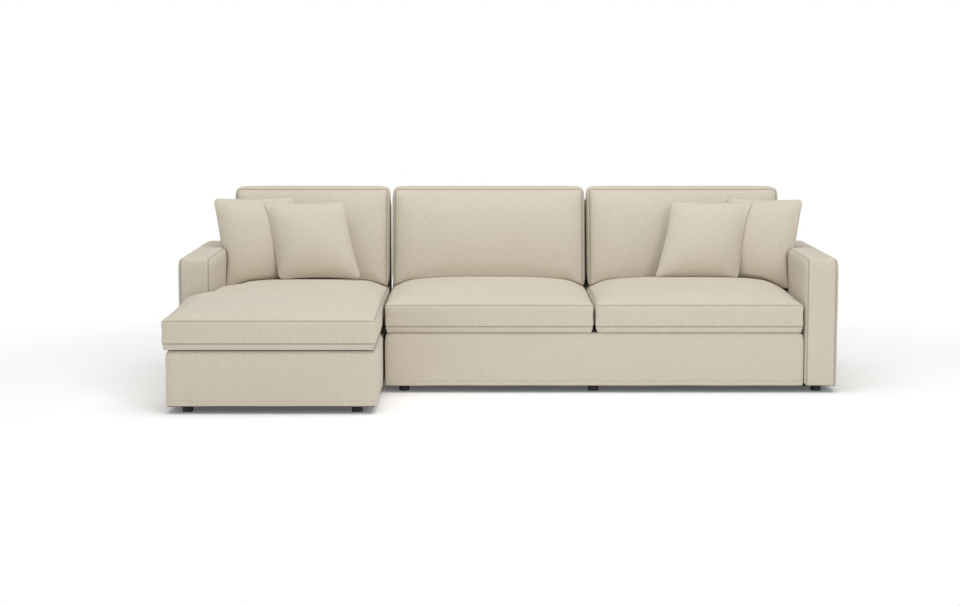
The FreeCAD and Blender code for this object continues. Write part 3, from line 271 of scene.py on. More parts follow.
def finish(slot):
    """The material for one of the record's slots, made once."""
    if slot in FINISHES:
        return FINISHES[slot]
    shade = colours()
    speckles = {
        # Pressed wood fibres, brown and dull, with a fine even speckle
        "fibreboard": ("pressed_fibreboard", shade.board, 700, 0.25, 0.82, 0.0003),
        # Needled felt of mixed fibres, grey and very matt
        "deck_felt": ("needled_felt", shade.felt, 420, 0.22, 0.97, 0.0012),
        # Woven elastic strap, tan and dull
        "webbing": ("elastic_webbing", shade.strap, 900, 0.3, 0.9, 0.0005),
        # Spun-bonded black cloth, thin and dull
        "dust_cloth": ("spunbonded_cambric", shade.cambric, 600, 0.35, 0.95, 0.0003),
        # Injection-moulded polypropylene with a fine spark texture
        "foot_plastic": ("moulded_polypropylene", shade.foot, 1400, 0.15, 0.55, 0.0001),
        # Oiled spring steel wire, grey with a soft shine
        "spring_steel": ("oiled_spring_steel", srgb("#8A8A8C"), 1500, 0.12, 0.38, 0.0001, 1.0),
        # Zinc-plated steel, bright with a faint spangle
        "screw_steel": ("zinc_plated_steel", srgb("#B9BABC"), 1200, 0.08, 0.32, 0.0001, 1.0),
        # Powder coat on pressed steel, black with an orange-peel surface
        "bracket_steel": ("black_powder_coat", shade.coat, 900, 0.12, 0.5, 0.0002),
        # Cut foam, pale yellow, and fibre fill in a white case, both inside their covers
        "seat_foam": ("cut_foam", srgb("#E3D8B0"), 500, 0.1, 0.95, 0.0006),
        "cushion_fill": ("fibre_fill", srgb("#ECEAE4"), 300, 0.08, 0.97, 0.0008),
    }
    if slot == "upholstery_weave":
        FINISHES[slot] = linen_weave()
    elif slot == "frame_wood":
        FINISHES[slot] = sawn_pine()
    else:
        FINISHES[slot] = speckled(*speckles[slot])
    return FINISHES[slot]


# Forms made of two sewn panels and the strips between them

class Form:
    """A closed cloth form: its object, its seams as rings of vertex numbers, and the vertices that stay put.

    front is the height of the front panel's points, which a pillow gives."""

    def __init__(self, piece, seams, held):
        self.piece = piece
        self.seams = seams
        self.held = held
        self.front = None

    def places(self):
        coordinates = np.zeros(len(self.piece.data.vertices) * 3)
        self.piece.data.vertices.foreach_get("co", coordinates)
        return coordinates.reshape(-1, 3)

    def move_to(self, places):
        self.piece.data.vertices.foreach_set("co", np.asarray(places, float).ravel())
        self.piece.data.update()

    def normals(self):
        directions = np.zeros(len(self.piece.data.vertices) * 3)
        self.piece.data.vertex_normals.foreach_get("vector", directions)
        return directions.reshape(-1, 3)


def panel_lines(stops, step, flank):
    """Mesh lines between stops, with one line close beside each stop, where a seam lies."""
    lines = [stops[0]]
    for low, high in zip(stops, stops[1:]):
        count = max(2, round((high - low - 2 * flank) / step))
        lines += list(np.linspace(low + flank, high - flank, count + 1)) + [high]
    return np.array(lines)


def outline_loop(filled):
    """The grid points round the filled cells, in order, with the cells on the left."""
    following = {}
    count_u, count_v = filled.shape

    def is_filled(u, v):
        return 0 <= u < count_u and 0 <= v < count_v and filled[u, v]

    for u, v in np.argwhere(filled):
        edges = (((u, v), (u + 1, v), (u, v - 1)), ((u + 1, v), (u + 1, v + 1), (u + 1, v)),
                 ((u + 1, v + 1), (u, v + 1), (u, v + 1)), ((u, v + 1), (u, v), (u - 1, v)))
        for start, end, beyond in edges:
            if not is_filled(*beyond):
                following[tuple(map(int, start))] = tuple(map(int, end))
    first = min(following)
    loop = [first]
    while following[loop[-1]] != first:
        loop.append(following[loop[-1]])
    return loop


def round_corner(u, v, corner):
    """Bend a square corner's grid into a quarter disc; corner is (u, v, way u, way v, radius)."""
    radius = corner[4]
    centre_u, centre_v = corner[0] - corner[2] * radius, corner[1] - corner[3] * radius
    out_u, out_v = (u - centre_u) * corner[2], (v - centre_v) * corner[3]
    near = (out_u > 0) & (out_v > 0) & (out_u < radius * 1.01) & (out_v < radius * 1.01)
    reach = np.hypot(out_u, out_v)
    share = np.where(near, np.maximum(out_u, out_v) / np.maximum(reach, 1e-9), 1.0)
    return centre_u + corner[2] * out_u * share, centre_v + corner[3] * out_v * share


# Rounds that even out a rear panel that is smaller than the outline
REAR_ROUNDS = 60


def sewn_form(name, lines_u, lines_v, is_inside, front, rear, rows, corners, to_frame, seam_rows,
              flat_rear=True, cloth_scale=1.0):
    """A closed form: a front and a rear panel over the same outline, with strips of rows between them.

    front and rear give each panel's height over (u, v). A row is (share of the height, inset from the
    outline), from the rear panel's edge to the front panel's edge. to_frame turns (u, v, height) into
    places, and cloth_scale turns u and v into metres of cloth."""
    grid_u, grid_v = np.meshgrid(lines_u, lines_v, indexing="ij")
    middle_u, middle_v = (lines_u[1:] + lines_u[:-1]) / 2, (lines_v[1:] + lines_v[:-1]) / 2
    filled = np.array([[is_inside(u, v) for v in middle_v] for u in middle_u])
    used = np.zeros(grid_u.shape, bool)
    for shift_u in (0, 1):
        for shift_v in (0, 1):
            used[shift_u:shift_u + filled.shape[0], shift_v:shift_v + filled.shape[1]] |= filled
    heights_front, heights_rear = front(grid_u, grid_v), rear(grid_u, grid_v)
    place_u, place_v = grid_u.copy(), grid_v.copy()
    for corner in corners:
        place_u, place_v = round_corner(place_u, place_v, corner)
    loop = outline_loop(filled)
    loop_u = np.array([place_u[p] for p in loop])
    loop_v = np.array([place_v[p] for p in loop])
    tangent_u = np.roll(loop_u, -1) - np.roll(loop_u, 1)
    tangent_v = np.roll(loop_v, -1) - np.roll(loop_v, 1)
    span = np.hypot(tangent_u, tangent_v)
    out_u, out_v = tangent_v / span, -tangent_u / span
    loop_front = np.array([heights_front[p] for p in loop])
    loop_rear = np.array([heights_rear[p] for p in loop])

    front_ids = np.full(grid_u.shape, -1)
    front_ids[used] = np.arange(used.sum())
    spots = [np.stack([place_u[used], place_v[used], heights_front[used]], 1)]
    total = int(used.sum())
    rings = []
    for share, inset in rows[:-1]:
        height = loop_rear + share * (loop_front - loop_rear)
        spots.append(np.stack([loop_u - out_u * inset, loop_v - out_v * inset, height], 1))
        rings.append(np.arange(total, total + len(loop)))
        total += len(loop)
    rings.append(np.array([front_ids[p] for p in loop]))

    rear_ids = np.full(grid_u.shape, -1)
    for index, point in enumerate(loop):
        rear_ids[point] = rings[0][index]
    interior = used & (rear_ids < 0)
    rear_ids[interior] = total + np.arange(interior.sum())
    rear_u, rear_v = place_u.copy(), place_v.copy()
    for index, point in enumerate(loop):
        rear_u[point] = loop_u[index] - out_u[index] * rows[0][1]
        rear_v[point] = loop_v[index] - out_v[index] * rows[0][1]
    if rows[0][1]:
        inner = interior[1:-1, 1:-1]
        for _ in range(REAR_ROUNDS):
            for values in (rear_u, rear_v):
                mean = (values[:-2, 1:-1] + values[2:, 1:-1]
                        + values[1:-1, :-2] + values[1:-1, 2:]) / 4
                values[1:-1, 1:-1][inner] = mean[inner]
    spots.append(np.stack([rear_u[interior], rear_v[interior], heights_rear[interior]], 1))
    spots = np.concatenate(spots)

    faces, cloth = [], []
    for u, v in np.argwhere(filled):
        cell = [(u, v), (u + 1, v), (u + 1, v + 1), (u, v + 1)]
        flat = [(grid_u[c], grid_v[c]) for c in cell]
        faces.append([front_ids[c] for c in cell])
        cloth.append(flat)
        faces.append([rear_ids[c] for c in reversed(cell)])
        cloth.append(list(reversed(flat)))
    for index in range(len(loop)):
        after = (index + 1) % len(loop)
        along_u = abs(loop_u[after] - loop_u[index]) >= abs(loop_v[after] - loop_v[index])
        along = loop_u if along_u else loop_v
        for low, high in zip(rings, rings[1:]):
            ids = [low[index], low[after], high[after], high[index]]
            faces.append(ids)
            cloth.append([(along[p], spots[i][2]) for p, i in zip((index, after, after, index), ids)])

    corners_in_frame = np.stack(to_frame(spots[:, 0], spots[:, 1], spots[:, 2]), 1)
    mesh = bpy.data.meshes.new(name)
    faces = [[int(i) for i in face] for face in faces]
    mesh.from_pydata(corners_in_frame.tolist(), [], faces)
    layer = mesh.uv_layers.new(name="cloth")
    layer.data.foreach_set("uv", np.array(cloth, float).ravel() * cloth_scale)
    if signed_volume(corners_in_frame, faces) < 0:
        mesh.flip_normals()
    mesh.polygons.foreach_set("use_smooth", [True] * len(faces))
    mesh.update()
    piece = bpy.data.objects.new(name, mesh)
    bpy.context.scene.collection.objects.link(piece)
    piece.data.materials.append(finish("upholstery_weave"))
    seams = [rings[row] for row in seam_rows]
    held = seams + ([rear_ids[used]] if flat_rear else [])
    return Form(piece, seams, np.unique(np.concatenate(held)) if held else np.array([], int))


def signed_volume(spots, faces):
    quads = np.array(faces)
    a, b, c, d = (spots[quads[:, k]] for k in range(4))
    return float(np.einsum("ij,ij->i", a, np.cross(b, c) + np.cross(c, d)).sum() / 6)


# Distance from a seam or a pressed face over which the cloth becomes free to move
FREE_DISTANCE = 0.06
# A firm, light cover under even pressure
COVER_CLOTH = {
    "quality": 5, "mass": 0.3, "tension_stiffness": 12, "compression_stiffness": 12, "shear_stiffness": 4,
    "bending_stiffness": 1.0, "use_pressure": True, "uniform_pressure_force": 4, "vertex_group_mass": "held",
}
FILLING_FRAMES = 20
# How sharp a seam stays under the finish
SEAM_CREASE = 0.7


def looseness(form):
    """Share of free movement at each vertex: 0 where the form is held, rising to 1 away from there."""
    places = form.places()
    tree = KDTree(len(form.held))
    for index, vertex in enumerate(form.held):
        tree.insert(places[vertex], index)
    tree.balance()
    return np.array([min(1.0, tree.find(place)[2] / FREE_DISTANCE) for place in places])


def filled_out(forms, slack, cap):
    """Pressurise the cloth of several cushions at once between their held seams."""
    starts = []
    for form in forms:
        start = form.places() - form.normals() * (slack * looseness(form))[:, None]
        form.move_to(start)
        starts.append(start)
        group = form.piece.vertex_groups.new(name="held")
        group.add([int(vertex) for vertex in form.held], 1.0, "REPLACE")
        cloth = form.piece.modifiers.new("filling", "CLOTH")
        for name, value in COVER_CLOTH.items():
            setattr(cloth.settings, name, value)
        cloth.settings.effector_weights.gravity = 0
        cloth.collision_settings.use_collision = False
        cloth.point_cache.frame_start = 1
        cloth.point_cache.frame_end = FILLING_FRAMES
    scene = bpy.context.scene
    for number in range(1, FILLING_FRAMES + 1):
        scene.frame_set(number)
    depsgraph = bpy.context.evaluated_depsgraph_get()
    ends = []
    for form in forms:
        evaluated = form.piece.evaluated_get(depsgraph).data
        end = np.zeros(len(evaluated.vertices) * 3)
        evaluated.vertices.foreach_get("co", end)
        ends.append(end.reshape(-1, 3))
    for form, start, end in zip(forms, starts, ends):
        form.piece.modifiers.clear()
        form.piece.vertex_groups.clear()
        moved = end - start
        reach = np.linalg.norm(moved, axis=1)
        share = np.minimum(1.0, cap / np.maximum(reach, 1e-9))
        form.move_to(start + moved * share[:, None])
    scene.frame_set(1)


def sew(form, depth, shade=1.0):
    """Draw the seams into the form, keep them crisp and note them for the painted shade that darkens the
    cloth along them; shade sets its strength.
    """
    mesh = form.piece.data
    places, normals = form.places(), form.normals()
    shares = np.zeros(len(places))
    for seam in form.seams:
        places[seam] -= normals[seam] * depth
        shares[seam] = shade
    form.move_to(places)
    mesh.attributes.new("seam", "FLOAT", "POINT").data.foreach_set("value", shares)
    ends = np.zeros(len(mesh.edges) * 2, int)
    mesh.edges.foreach_get("vertices", ends)
    on_seam = (shares[ends.reshape(-1, 2)] > 0).all(1)
    mesh.attributes.new("crease_edge", "FLOAT", "EDGE").data.foreach_set("value", on_seam * SEAM_CREASE)


def surface_tree(piece):
    """A search tree over a piece's mesh."""
    mesh = piece.data
    mesh.calc_loop_triangles()
    triangles = [tuple(t.vertices) for t in mesh.loop_triangles]
    return BVHTree.FromPolygons([v.co for v in mesh.vertices], triangles)


# How deep in a neighbour a point is still found, and from which gap on only sunken points move
SEARCH_DEPTH = 0.11
WIDE_GAP = 0.01


def push_clear(form, neighbours, gap):
    """Move the points that lie in a neighbour out to its surface and a gap beyond it.

    The gap is one length, or one for each point."""
    places = form.places()
    gaps = np.broadcast_to(gap, len(places))
    for tree in neighbours:
        for index, place in enumerate(places):
            spot, normal, _, _ = tree.find_nearest(Vector(place), SEARCH_DEPTH)
            if spot is None:
                continue
            depth = (Vector(place) - spot).dot(normal)
            if depth < gaps[index] and (depth < SOFT_GAP or gaps[index] < WIDE_GAP):
                places[index] = spot + normal * gaps[index]
    form.move_to(places)


def soften(form, steps, strength=0.5, keep=None):
    """Even out a form's points with their neighbours."""
    places = form.places()
    edges = np.array([tuple(e.vertices) for e in form.piece.data.edges])
    count = np.bincount(edges.ravel(), minlength=len(places))[:, None]
    for _ in range(steps):
        total = np.zeros_like(places)
        np.add.at(total, edges[:, 0], places[edges[:, 1]])
        np.add.at(total, edges[:, 1], places[edges[:, 0]])
        moved = places + (total / count - places) * strength
        if keep is not None:
            moved[keep] = places[keep]
        places = moved
    form.move_to(places)


def fit_cloth(form, body, *nodes):
    """Finished cloth is rounded, takes the place of its solids and rides on its body."""
    modifier = form.piece.modifiers.new("smooth", "SUBSURF")
    modifier.levels = modifier.render_levels = 1
    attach(form.piece, body)
    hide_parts(*nodes)


def settle(form, body, fill, *nodes):
    """A finished cushion, which is fitted as cloth."""
    fit_cloth(form, body, *nodes)


# Measures that several pieces share, read from the frame

def box(node):
    low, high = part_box(node)
    return np.array(low), np.array(high)


DECK = box("sofa_base_cover")[1][2]
BACK_FACE_LOW = box("sofa_back_cover")[0][1]
BACK_REAR = box("sofa_back_cover")[1][1]
BACK_TOP = box("sofa_back_cover")[1][2]
CROWN_POWER = 0.72
# Rest gap of soft pieces
SOFT_GAP = 0.0006


def full_share(place, low, high):
    """Share of the full crown across a cushion, 0 at its sides and 1 in its middle."""
    across = np.clip(np.abs(place - (low + high) / 2) / ((high - low) / 2), 0, 1)
    return np.maximum((1 - across ** (2 / CROWN_POWER)) ** (CROWN_POWER / 2), 0)


def quarter(distance, radius):
    """Height share of a quarter-round edge at a distance inside its border."""
    share = np.clip(distance / radius, 0, 1)
    return np.sqrt(1 - (1 - share) ** 2)


def seat_height(u, v, low, high, left):
    """Rise of a seat's top over its upper seam; low and high are the plan corners, left is the left side."""
    size = settings()
    full = full_share(u, left, high[0])
    roll = size.seat_roll * quarter(np.minimum(v - low[1], high[1] - v), size.seat_roll_depth)
    middle, half = (low[1] + high[1]) / 2, (high[1] - low[1]) / 2 - size.seat_roll_depth
    crown = size.seat_crown * np.clip(1 - ((v - middle) / half) ** 2, 0, 1)
    return (roll + crown) * full


SEAT_SECTIONS = ("chaise", "middle", "right")
TREES = {}


# Roundings of a seat cushion's front and rear corners in plan
FRONT_CORNER = 0.009
REAR_CORNER = 0.016
# The chaise cushion's ear: its gaps beside and ahead of the arm, and how far back its crown fades out
EAR_SIDE_GAP = 0.004
EAR_ARM_GAP = 0.006
EAR_FADE = 0.5
BOXING_BULGE = 0.003
BOXING_STEPS = 6


def seat_form(section):
    """A boxed seat cushion with a tucked foot, two seams and a crowned top; the chaise's has an ear."""
    size = settings()
    low, high = box(f"{section}_seat_cover")
    foot, seam_height = DECK + SOFT_GAP, DECK + size.upper_seam
    tight = size.seam_flank
    stops_u, stops_v = [low[0], high[0]], [low[1], high[1]]
    step_u, step_v = low[0], high[1]
    if section == "chaise":
        arm_low, arm_high = box("left_arm_cover")
        step_u, step_v = arm_high[0] + EAR_SIDE_GAP, arm_low[1] - EAR_ARM_GAP
        stops_u.insert(1, step_u)
        stops_v.insert(1, step_v)

    def front(u, v):
        behind = np.clip((v - step_v) / EAR_FADE, 0, 1)
        left = low[0] + (step_u - low[0]) * behind * behind * (3 - 2 * behind)
        return seam_height + seat_height(u, v, low, high, left)

    corners = [(low[0], low[1], -1, -1, FRONT_CORNER), (high[0], low[1], 1, -1, FRONT_CORNER),
               (high[0], high[1], 1, 1, REAR_CORNER), (low[0], step_v, -1, 1, REAR_CORNER)]
    span = seam_height - foot
    heights = [0.0, 0.010, 0.020, size.lower_seam - tight, size.lower_seam, size.lower_seam + tight]
    insets = [size.tuck, size.tuck * 0.72, size.tuck * 0.36, size.tuck * 0.12, 0.0, 0.0]
    for step in range(1, BOXING_STEPS):
        share = step / BOXING_STEPS
        heights.append(size.lower_seam + (size.upper_seam - size.lower_seam) * share)
        insets.append(-BOXING_BULGE * 4 * share * (1 - share))
    heights += [size.upper_seam - tight, size.upper_seam]
    insets += [0.0, 0.0]
    rows = [(height / span, inset) for height, inset in zip(heights, insets)]
    return sewn_form(f"{section}_seat_cushion", panel_lines(stops_u, size.cell, tight),
                     panel_lines(stops_v, size.cell, tight), lambda u, v: u > step_u or v < step_v, front,
                     lambda u, v: np.full_like(u, foot), rows, corners,
                     lambda u, v, w: (u, v, w), (4, len(rows) - 1))


def back_face(height):
    """Place of the fixed back's front face at a height."""
    top = BACK_REAR - settings().back_top_depth
    share = (height - DECK) / (BACK_TOP - DECK)
    return BACK_FACE_LOW + (top - BACK_FACE_LOW) * share


# A back cushion: its gap over the seat's seam, its sides' bulge and its corners' rounding
BACK_SEAT_GAP = 0.010
BACK_BULGE = 0.010
BACK_CORNER = 0.02


def back_form(section):
    """A boxed back cushion that leans on the fixed back."""
    size = settings()
    low, high = box(f"{section}_back_cushion_cover")
    foot = DECK + size.upper_seam + BACK_SEAT_GAP
    tight, cell = size.seam_flank, size.cell
    bulge = BACK_BULGE
    side_low, side_high = low[0] + bulge, high[0] - bulge
    top = high[2] - bulge + 0.001
    lines_u = panel_lines([side_low, side_high], cell, tight)
    lines_v = panel_lines([foot, top], cell, tight)

    def thickness(v):
        share = (v - foot) / (top - foot)
        return size.back_low * (1 - share) + size.back_high * share

    def front(u, v):
        across = np.minimum(u - side_low, side_high - u)
        upright = np.minimum(v - foot, top - v)
        width = size.back_roll * 1.6
        roll = size.back_roll * quarter(across, width) * quarter(upright, width)
        rise = np.clip(1 - ((v - (foot + top) / 2) / ((top - foot) / 2)) ** 2, 0, 1)
        crown = size.back_crown * full_share(u, side_low, side_high) * rise
        return thickness(v) - size.back_roll + roll + crown

    corners = [(u, v, way_u, way_v, BACK_CORNER) for u, v, way_u, way_v in (
        (side_low, foot, -1, -1), (side_high, foot, 1, -1), (side_high, top, 1, 1), (side_low, top, -1, 1))]
    rows = [(0.0, -bulge * 0.5), (0.04, -bulge * 0.7)]
    for share in (0.12, 0.25, 0.4, 0.55, 0.7, 0.82, 0.91):
        rows.append((share, -bulge * min(1.0, 4 * share * (1 - share) + 0.45)))
    rows += [(0.97, -bulge * 0.30), (1.0, 0.0)]
    return sewn_form(f"{section}_back_cushion", lines_u, lines_v, lambda u, v: True, front,
                     lambda u, v: np.full_like(u, 0.001), rows, corners,
                     lambda u, v, w: (u, back_face(v) - w, v), (0, len(rows) - 1))


# Throw pillows: where and how each one leans, in metres and degrees. way is 1 at the left arm, place is
# from the arm, shear is the top's shift towards the arm, and droop is how far the foot hangs at the arm.
PILLOW_THICKNESS = 0.150
PILLOW_DRAW = 0.010
PILLOW_RIM = 0.004
PILLOWS = {
    "left_outer_pillow": dict(
        section="chaise", way=1, place=0.187, forward=0.388, turn=20, lean=20, shear=0.016, width=0.431,
        height=0.448, foot=0.468, droop=0.022),
    "left_inner_pillow": dict(
        section="chaise", way=1, place=0.432, forward=0.336, turn=5, lean=25, shear=0.080, width=0.414,
        height=0.419, foot=0.488, droop=0.0),
    "right_outer_pillow": dict(
        section="right", way=-1, place=0.166, forward=0.388, turn=27, lean=20, shear=0.0, width=0.411,
        height=0.447, foot=0.465, droop=0.024),
    "right_inner_pillow": dict(
        section="right", way=-1, place=0.405, forward=0.336, turn=-2, lean=25, shear=0.105, width=0.424,
        height=0.420, foot=0.489, droop=0.0),
}
# Roundings of a pillow's corners, as a share of half its width, and the panels' power of fullness
PILLOW_CORNER = 0.14
PILLOW_FULLNESS = 2.6
PILLOW_SLACK = 0.006
PILLOW_SWELL = 0.010
CREASE_DEPTH = 0.0035
CREASE_COUNT = 15


def creases(u, v):
    """Small folds that fan out from a pillow's corners, in metres."""
    total = np.zeros_like(u)
    for corner_u, corner_v in ((-1, -1), (1, -1), (1, 1), (-1, 1)):
        across, upright = np.abs(u - corner_u), np.abs(v - corner_v)
        reach = np.hypot(across, upright)
        fan = np.sin(np.arctan2(upright, across) * CREASE_COUNT + corner_u + 2 * corner_v)
        weight = 1.0 if corner_v < 0 else 0.45
        total += weight * fan * np.exp(-(reach / 0.42) ** 2) * np.clip(reach / 0.14, 0, 1)
    edge = np.clip((1 - np.maximum(np.abs(u), np.abs(v))) / 0.06, 0, 1)
    return CREASE_DEPTH * total * edge


def pillow_form(name, values):
    """A knife-edge pillow: two square panels sewn along their edges, drawn in between the corners."""
    size = settings()
    way, height = values["way"], values["height"]
    half_width, half_height = values["width"] / 2, height / 2
    lines = panel_lines([-1.0, 1.0], size.pillow_cell / half_width, size.seam_flank / half_width)
    arm_low, arm_high = box("left_arm_cover" if way > 0 else "right_arm_cover")
    middle = (arm_high[0] if way > 0 else arm_low[0]) + way * values["place"]
    turn, lean = math.radians(way * values["turn"]), math.radians(values["lean"])

    def swell(u, v):
        across = np.sqrt(np.clip(1 - np.abs(u) ** PILLOW_FULLNESS, 0, 1))
        upright = np.sqrt(np.clip(1 - np.abs(v) ** PILLOW_FULLNESS, 0, 1))
        return (PILLOW_THICKNESS - PILLOW_RIM) / 2 * across * upright + PILLOW_RIM / 2 + creases(u, v)

    def to_frame(u, v, w):
        x = half_width * u - PILLOW_DRAW * np.sign(u) * np.abs(u) * (1 - v ** 2)
        z = height / 2 + half_height * v - PILLOW_DRAW * np.sign(v) * np.abs(v) * (1 - u ** 2)
        x = x - way * values["shear"] * v / 2
        z = z - values["droop"] * (1 - u * way) / 2 * (1 - v) / 2
        y = -w * math.cos(lean) + z * math.sin(lean)
        z = w * math.sin(lean) + z * math.cos(lean)
        return (middle + x * math.cos(turn) - y * math.sin(turn),
                values["forward"] + x * math.sin(turn) + y * math.cos(turn), values["foot"] + z)

    corners = [(u, v, u, v, PILLOW_CORNER) for u, v in ((-1, -1), (1, -1), (1, 1), (-1, 1))]
    form = sewn_form(name, lines, lines, lambda u, v: True, swell, lambda u, v: -swell(u, v),
                     [(0.0, 0.0), (0.5, -0.004), (1.0, 0.0)], corners, to_frame, (1,), flat_rear=False,
                     cloth_scale=half_width)
    grid_u, grid_v = np.meshgrid(lines, lines, indexing="ij")
    form.front = swell(grid_u, grid_v).ravel()
    return form


# Tight upholstery: arms, bases and fixed backs. Its mesh is coarser, and its foot is barely rounded.
TIGHT_CELLS = 1.6
FOOT_DEPTH = 0.003
FOOT_WIDTH = 0.008
FOOT_CORNER = 0.006


def tight_form(name, node, axis, depth, width, radius, front=None, hem=None, has_seams=True):
    """Upholstery pulled over a box: two panels facing along an axis, joined by strips round the edges.

    depth and width give the rounding from a panel into the strips, radius that of the top corners. The
    cloth is turned under the frame at the foot. A hem is a line at that height above the foot."""
    size = settings()
    low, high = box(node)
    plane = [k for k in range(3) if k != axis]
    cell = size.cell * TIGHT_CELLS
    lines_u = panel_lines([low[plane[0]], high[plane[0]]], cell, size.seam_flank)
    stops = [low[2], high[2]] if hem is None else [low[2], low[2] + hem, high[2]]
    lines_v = panel_lines(stops, cell, size.seam_flank)

    def inset(u, v):
        across = np.minimum(u - low[plane[0]], high[plane[0]] - u)
        rolled = depth * (1 - quarter(across, width) * quarter(high[2] - v, width))
        return np.maximum(rolled, FOOT_DEPTH * (1 - quarter(v - low[2], FOOT_WIDTH)))

    def far(u, v):
        return high[axis] - inset(u, v)

    def near(u, v):
        return (low[axis] if front is None else front(v)) + inset(u, v)

    def to_frame(u, v, w):
        places = [None, None, None]
        places[plane[0]], places[plane[1]], places[axis] = u, v, w
        return tuple(places)

    corners = [(high[plane[0]], high[2], 1, 1, radius), (low[plane[0]], high[2], -1, 1, radius),
               (low[plane[0]], low[2], -1, -1, FOOT_CORNER), (high[plane[0]], low[2], 1, -1, FOOT_CORNER)]
    thickness = high[axis] - low[axis]
    tight_share = size.seam_flank / thickness
    shares = [0.0, tight_share] + list(np.linspace(0, 1, max(3, round(thickness / cell)) + 1)[1:-1])
    shares += [1 - tight_share, 1.0]
    rows = [(share, 0.0) for share in shares]
    form = sewn_form(name, lines_u, lines_v, lambda u, v: True, far, near, rows, corners, to_frame,
                     (0, len(rows) - 1) if has_seams else ())
    if hem is not None:
        form.seams.append(np.nonzero(np.abs(form.places()[:, 2] - low[2] - hem) < 1e-5)[0])
    return form


QUILT_WAVES = 7


def quilted(form, amount, scale, seed):
    """Gentle hollows in padded upholstery, from a few crossing waves."""
    places, normals = form.places(), form.normals()
    generator = np.random.default_rng(seed)
    total = np.zeros(len(places))
    for _ in range(QUILT_WAVES):
        direction = generator.normal(size=3)
        direction *= 2 * math.pi / scale / np.linalg.norm(direction) * generator.uniform(0.5, 1.6)
        total += np.sin(places @ direction + generator.uniform(0, 2 * math.pi))
    form.move_to(places + normals * (total / QUILT_WAVES * amount)[:, None])


class SOFA_OT_seat_cushions(bpy.types.Operator):
    """Make the three boxed seat cushions"""
    bl_idname = "sofa.seat_cushions"
    bl_label = "Seat cushions"

    def execute(self, context):
        size = settings()
        forms = {section: seat_form(section) for section in SEAT_SECTIONS}
        limits = {section: box(f"{section}_seat_cover") for section in SEAT_SECTIONS}
        filled_out(list(forms.values()), size.slack, size.swell)
        for section, form in forms.items():
            low, high = limits[section]
            places = form.places()
            places[:, 0] = np.clip(places[:, 0], low[0] - 0.001, high[0] + 0.001)
            places[:, 1] = np.clip(places[:, 1], low[1] - 0.004, high[1])
            places[:, 2] = np.maximum(places[:, 2], DECK + SOFT_GAP)
            form.move_to(places)
            sew(form, size.seam_depth)
            TREES[f"{section}_seat"] = surface_tree(form.piece)
            settle(form, f"{section}_seat_cushion", 0.85, f"{section}_seat_cover",
                   f"{section}_seat_core")
        return {"FINISHED"}


class SOFA_OT_back_cushions(bpy.types.Operator):
    """Make the three boxed back cushions"""
    bl_idname = "sofa.back_cushions"
    bl_label = "Back cushions"

    def execute(self, context):
        size = settings()
        forms = {section: back_form(section) for section in SEAT_SECTIONS}
        filled_out(list(forms.values()), size.slack, size.swell)
        for section, form in forms.items():
            low, high = box(f"{section}_back_cushion_cover")
            places = form.places()
            places[:, 0] = np.clip(places[:, 0], low[0] - 0.001, high[0] + 0.001)
            places[:, 1] = np.minimum(places[:, 1], back_face(places[:, 2]) - SOFT_GAP)
            form.move_to(places)
            push_clear(form, [TREES[f"{section}_seat"]], SOFT_GAP * 2)
            sew(form, size.seam_depth)
            TREES[f"{section}_back"] = surface_tree(form.piece)
            settle(form, f"{section}_back_cushion", 0.75, f"{section}_back_cushion_cover",
                   f"{section}_back_cushion_fill")
        return {"FINISHED"}


class SOFA_OT_pillows(bpy.types.Operator):
    """Make the four throw pillows"""
    bl_idname = "sofa.pillows"
    bl_label = "Throw pillows"

    def execute(self, context):
        forms = {name: pillow_form(name, values) for name, values in PILLOWS.items()}
        filled_out(list(forms.values()), PILLOW_SLACK, PILLOW_SWELL)
        behind = None
        for name, form in forms.items():
            section, arm = PILLOWS[name]["section"], "left" if PILLOWS[name]["way"] > 0 else "right"
            neighbours = [TREES[f"{section}_seat"], TREES[f"{section}_back"], TREES[f"{arm}_arm"]]
            if "inner" in name:
                neighbours.append(behind)
            gaps = np.full(len(form.places()), SOFT_GAP * 2)
            gaps[:len(form.front)] += form.front * 0.6
            for _ in range(3):
                push_clear(form, neighbours, gaps)
                soften(form, 2, 0.4, form.seams[0])
            push_clear(form, neighbours, SOFT_GAP * 2)
            soften(form, 2, 0.4, form.seams[0])
            behind = surface_tree(form.piece)
            sew(form, 0.0, 0.5)
            settle(form, name, 0.6, f"{name}_cover", f"{name}_fill")
        return {"FINISHED"}


class SOFA_OT_arms(bpy.types.Operator):
    """Make the upholstery of the two arms"""
    bl_idname = "sofa.arms"
    bl_label = "Arms"

    def execute(self, context):
        size = settings()
        for seed, (side, body) in enumerate((("left", "chaise_section"), ("right", "sofa_section"))):
            form = tight_form(f"{side}_arm_upholstery", f"{side}_arm_cover", 0, 0.016, size.arm_roll,
                              0.030)
            quilted(form, 0.0014, 0.30, seed)
            sew(form, size.seam_depth)
            TREES[f"{side}_arm"] = surface_tree(form.piece)
            fit_cloth(form, body, f"{side}_arm_cover")
        return {"FINISHED"}


# Height of the bases' hem over their foot
HEM = 0.022


